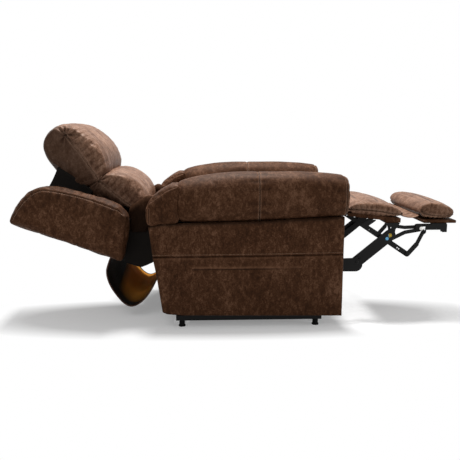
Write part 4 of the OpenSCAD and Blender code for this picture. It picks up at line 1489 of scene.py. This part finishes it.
def stitch_tree():
    tree, g, given = tree_with("stitches_on_lines", [
        ("Pitch", "NodeSocketFloat", 0.006),
        ("Stitch Length", "NodeSocketFloat", 0.0042),
        ("Thread Radius", "NodeSocketFloat", 0.0007),
        ("Thread", "NodeSocketMaterial", None),
    ])
    curve = g.node("GeometryNodeMeshToCurve", None, {"Mesh": given["Geometry"]})["Curve"]
    spacing = {"Curve": curve, "Length": given["Pitch"]}
    spaced = g.node("GeometryNodeResampleCurve", {"mode": "LENGTH"}, spacing)["Curve"]
    ball = {"Segments": 6, "Rings": 4, "Radius": given["Thread Radius"]}
    bead = g.node("GeometryNodeMeshUVSphere", None, ball)["Mesh"]
    stretch = given["Stitch Length"].math("DIVIDE", given["Stitch Length"], given["Thread Radius"]) * 0.5
    size = g.node("ShaderNodeCombineXYZ", None, {"X": 1.0, "Y": 1.0, "Z": stretch})["Vector"]
    bead = g.node("GeometryNodeTransform", None, {"Geometry": bead, "Scale": size})["Geometry"]
    tangent = g.node("GeometryNodeInputTangent")["Tangent"]
    turn = g.node("FunctionNodeAlignRotationToVector", {"axis": "Z"}, {"Vector": tangent})["Rotation"]
    sockets = {"Points": spaced, "Instance": bead, "Rotation": turn}
    sewn = g.node("GeometryNodeInstanceOnPoints", None, sockets)["Instances"]
    finish_tree(g, sewn, given["Thread"])
    return tree


def chain_object(name, lines):
    points, edges = [], []
    for line in lines:
        first = len(points)
        points += [tuple(p) for p in line]
        edges += [(first + i, first + i + 1) for i in range(len(line) - 1)]
    mesh = bpy.data.meshes.new(name)
    mesh.from_pydata(points, edges, [])
    piece = bpy.data.objects.new(name, mesh)
    bpy.context.scene.collection.objects.link(piece)
    return piece


def grow(piece, tree, values):
    """Runs a tree on a piece with named inputs, and keeps the plain mesh."""
    modifier = piece.modifiers.new(tree.name, "NODES")
    modifier.node_group = tree
    for item in tree.interface.items_tree:
        if item.in_out == "INPUT" and item.name in values:
            modifier[item.identifier] = values[item.name]
    flatten(piece)
    return piece


sewing = stitch_tree()
for body, lines in seam_lines.items():
    piece = grow(chain_object(f"{body}_stitches", lines), sewing, {"Thread": thread})
    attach(piece, body)
    print(piece.name, len(lines), "lines,", len(piece.data.polygons), "faces")

# %% [markdown]
# ## Piped hems
# The skirt's two long edges are bound in leather piping, a round cord swept along each edge.
# %% The piping tree
def piping_tree():
    tree, g, given = tree_with("piping_on_lines", [
        ("Piping Radius", "NodeSocketFloat", 0.003),
        ("Cover", "NodeSocketMaterial", None),
    ])
    curve = g.node("GeometryNodeMeshToCurve", None, {"Mesh": given["Geometry"]})["Curve"]
    circle = {"Resolution": 10, "Radius": given["Piping Radius"]}
    ring = g.node("GeometryNodeCurvePrimitiveCircle", {"mode": "RADIUS"}, circle)["Curve"]
    sockets = {"Curve": curve, "Profile Curve": ring, "Fill Caps": True}
    tube = g.node("GeometryNodeCurveToMesh", None, sockets)["Mesh"]
    smooth = g.node("GeometryNodeSetShadeSmooth", None, {"Geometry": tube})["Geometry"]
    finish_tree(g, smooth, given["Cover"])
    return tree


piping_maker = piping_tree()
hems = []
for column in (0, skirt_rows.shape[1] - 1):
    hems.append([tuple(p) for p in skirt_rows[:, column]])
hem = grow(chain_object("skirt_hem", hems), piping_maker, {"Piping Radius": 0.0032, "Cover": piping})
print("hem faces:", len(hem.data.polygons))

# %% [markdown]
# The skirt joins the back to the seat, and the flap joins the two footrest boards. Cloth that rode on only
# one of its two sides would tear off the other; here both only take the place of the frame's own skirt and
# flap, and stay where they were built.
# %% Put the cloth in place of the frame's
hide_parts("back_skirt")
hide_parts("footrest_flap")
for piece in (skirt, hem):
    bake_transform(piece)
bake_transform(flap)

# %% [markdown]
# ## Geometry Nodes: fasteners
# The pivots of the lift and the footrest have domed rivet heads. The heads are one small shape placed on
# points that carry their facing, so a pivot list is all that changes.
# %% The head tree
def head_tree(name):
    tree, g, given = tree_with(name, [
        ("Head Radius", "NodeSocketFloat", 0.007),
        ("Head Height", "NodeSocketFloat", 0.003),
        ("Finish", "NodeSocketMaterial", None),
    ])
    named = {"data_type": "FLOAT_VECTOR"}
    facing = g.node("GeometryNodeInputNamedAttribute", named, {"Name": "facing"})["Attribute"]
    points = g.node("GeometryNodeMeshToPoints", None, {"Mesh": given["Geometry"]})["Points"]
    ball = {"Segments": 16, "Rings": 10, "Radius": given["Head Radius"]}
    head = g.node("GeometryNodeMeshUVSphere", None, ball)["Mesh"]
    flat = given["Head Height"].math("DIVIDE", given["Head Height"], given["Head Radius"])
    size = g.node("ShaderNodeCombineXYZ", None, {"X": 1.0, "Y": 1.0, "Z": flat})["Vector"]
    head = g.node("GeometryNodeTransform", None, {"Geometry": head, "Scale": size})["Geometry"]
    head = g.node("GeometryNodeSetShadeSmooth", None, {"Geometry": head})["Geometry"]
    turn = g.node("FunctionNodeAlignRotationToVector", {"axis": "Z"}, {"Vector": facing})["Rotation"]
    sockets = {"Points": points, "Instance": head, "Rotation": turn}
    finish_tree(g, g.node("GeometryNodeInstanceOnPoints", None, sockets)["Instances"], given["Finish"])
    return tree


domes = head_tree("domed_rivets")
print("head tree ready:", domes.name)


# %% [markdown]
# Each list gives the pivots of one side in millimetres, and both sides get a head.
# %% Rivet heads
def heads(name, body, pivots, radius, height, finish):
    """Puts a head on each pivot at y and at -y, facing away from the middle plane."""
    spots = [(x, side * y, z) for x, y, z in pivots for side in (1, -1)]
    mesh = bpy.data.meshes.new(name)
    mesh.from_pydata([(x * MM, y * MM, z * MM) for x, y, z in spots], [], [])
    facing = mesh.attributes.new("facing", "FLOAT_VECTOR", "POINT")
    facing.data.foreach_set("vector", [c for x, y, z in spots for c in (0.0, math.copysign(1.0, y), 0.0)])
    piece = bpy.data.objects.new(name, mesh)
    bpy.context.scene.collection.objects.link(piece)
    grow(piece, domes, {"Head Radius": radius * MM, "Head Height": height * MM, "Finish": finish})
    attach(piece, body)
    print(name, len(spots), "heads")


CRANK_PIVOTS = [(311, 262.5, 343), (537, 262.5, 263)]
LIFT_PIVOTS = [(-168, 333.5, 60), (212, 333.5, 75)]
heads("crank_rivets", "cranks", CRANK_PIVOTS, 8.5, 2.6, steel)
heads("prop_knee_rivets", "ottoman", [(775, 251, 295)], 6.0, 1.6, steel)
heads("slide_rivet_domes", "extension", [(832, 258.8, 418)], 6.5, 2.0, zinc)
heads("yellow_bush_caps", "ottoman", [(687, 259.0, 387)], 5.0, 1.2, yellow_nylon)
heads("lift_arm_rivets", "lift_arms", LIFT_PIVOTS, 9.0, 2.6, zinc)

# %% [markdown]
# ## Floor, light and camera
# The chair stands on a plain pale floor. A grey floor under strong light would also look white, but then
# the light would bleach the leather, so the floor goes white only to the camera and keeps the chair's soft
# shadow under and beside the box. Further out a pure white glow paints that shadow out.
# %% Floor
WHITE = (1.0, 1.0, 1.0, 1.0)
FLOOR_GLOW = 0.24
# The floor keeps its shadow under the box and in a band beside it; each is a unit circle's shift and scale.
# Beyond them a pure white glow paints the rest of the chair's shadow out.
SHADOW_ZONES = [((0.0, 0.0, 0.0), (1.55, 1.9, 1.0)), ((0.03, 0.75, 0.0), (0.76, 3.2, 1.0))]


def floor_material():
    made = bpy.data.materials.new("studio_floor")
    made.use_nodes = True
    made.node_tree.nodes.clear()
    g = Graph(made.node_tree)
    ray = g.node("ShaderNodeLightPath")
    seen = (ray["Is Camera Ray"] + ray["Is Glossy Ray"] + ray["Is Transmission Ray"]).clamped()
    paint = g.node("ShaderNodeBsdfDiffuse", None, {"Color": (0.80, 0.80, 0.80, 1.0)})["BSDF"]
    glow = g.node("ShaderNodeEmission", None, {"Color": WHITE, "Strength": FLOOR_GLOW})["Emission"]
    # A pure white glow for the camera, which paints the shadow out beyond the zones.
    clear = g.node("ShaderNodeEmission", None, {"Color": WHITE, "Strength": 1.0})["Emission"]
    lit = g.node("ShaderNodeAddShader", None, {0: paint, 1: glow})["Shader"]
    place = g.node("ShaderNodeTexCoord")["Object"]
    zones = []
    for spot, size in SHADOW_ZONES:
        sockets = {"Vector": place, "Location": spot, "Scale": size}
        mapped = g.node("ShaderNodeMapping", None, sockets)["Vector"]
        zones.append(g.node("ShaderNodeVectorMath", {"operation": "LENGTH"}, {"Vector": mapped})["Value"])
    under, beside = zones
    edge = ((under.math("MINIMUM", under, beside) - 0.72) * 3.2).clamped()
    lit = g.node("ShaderNodeMixShader", None, {0: edge, 1: lit, 2: clear})["Shader"]
    bounce = g.node("ShaderNodeBsdfDiffuse", None, {"Color": (0.56, 0.56, 0.56, 1.0)})["BSDF"]
    shown = g.node("ShaderNodeMixShader", None, {0: seen, 1: bounce, 2: lit})["Shader"]
    g.node("ShaderNodeOutputMaterial", None, {"Surface": shown})
    return made


floor_mesh = bpy.data.meshes.new("studio_floor")
floor_mesh.from_pydata([(-9, -6, 0), (9, -6, 0), (9, 12, 0), (-9, 12, 0)], [], [(0, 1, 2, 3)])
floor = bpy.data.objects.new("studio_floor", floor_mesh)
scene.collection.objects.link(floor)
floor_mesh.materials.append(floor_material())
print("floor at z = 0, with", len(floor_mesh.vertices), "corners")

# %% [markdown]
# The world is white for the camera and for glints, and a mild grey for everything else, so it fills the
# shadows without washing out the leather.
# %% World
world = bpy.data.worlds.new("studio_world")
world.use_nodes = True
world.node_tree.nodes.clear()
g = Graph(world.node_tree)
ray = g.node("ShaderNodeLightPath")
seen = (ray["Is Camera Ray"] + ray["Is Glossy Ray"] + ray["Is Transmission Ray"]).clamped()
white = g.node("ShaderNodeBackground", None, {"Color": WHITE, "Strength": 1.0})["Background"]
mild = g.node("ShaderNodeBackground", None, {"Color": WHITE, "Strength": 0.30})["Background"]
sky = g.node("ShaderNodeMixShader", None, {0: seen, 1: mild, 2: white})["Shader"]
g.node("ShaderNodeOutputWorld", None, {"Surface": sky})
scene.world = world
print("world ready")


# %% [markdown]
# A large rectangle of light has soft shadows, where a sun or a spot would cut hard ones. The strong one hangs
# overhead, a low one rakes the box from the right, and a weak one fills the front.
# %% Lamps
def area_light(name, place, target, size, power):
    data = bpy.data.lights.new(name, "AREA")
    data.shape = "RECTANGLE"
    data.size, data.size_y = size
    data.energy = power
    lamp = bpy.data.objects.new(name, data)
    lamp.location = place
    aim = Vector(target) - Vector(place)
    lamp.rotation_euler = aim.to_track_quat("-Z", "Y").to_euler()
    scene.collection.objects.link(lamp)


area_light("overhead_softbox", (-0.10, 0.80, 3.7), (0.0, -0.05, 0.3), (1.1, 0.9), 235.0)
area_light("right_key", (3.1, -1.3, 0.95), (0.1, 0.0, 0.5), (1.2, 1.0), 17.0)
area_light("front_fill", (-1.2, -3.4, 3.0), (0.0, 0.0, 0.4), (2.6, 1.6), 33.0)

# %% [markdown]
# The camera stands three metres to the chair's right, level with the head pillow, and looks ten degrees down.
# %% Camera
camera_data = bpy.data.cameras.new("studio_camera")
camera_data.lens = 46.8
camera_data.sensor_width = 36.0
camera = bpy.data.objects.new("studio_camera", camera_data)
camera.location = (-0.1575, -2.9299, 0.8869)
camera.rotation_euler = (math.radians(80.04), 0.0, math.radians(-2.32))
scene.collection.objects.link(camera)
scene.camera = camera
scene.view_settings.view_transform = "Standard"
print("camera", [round(c, 3) for c in camera.location])
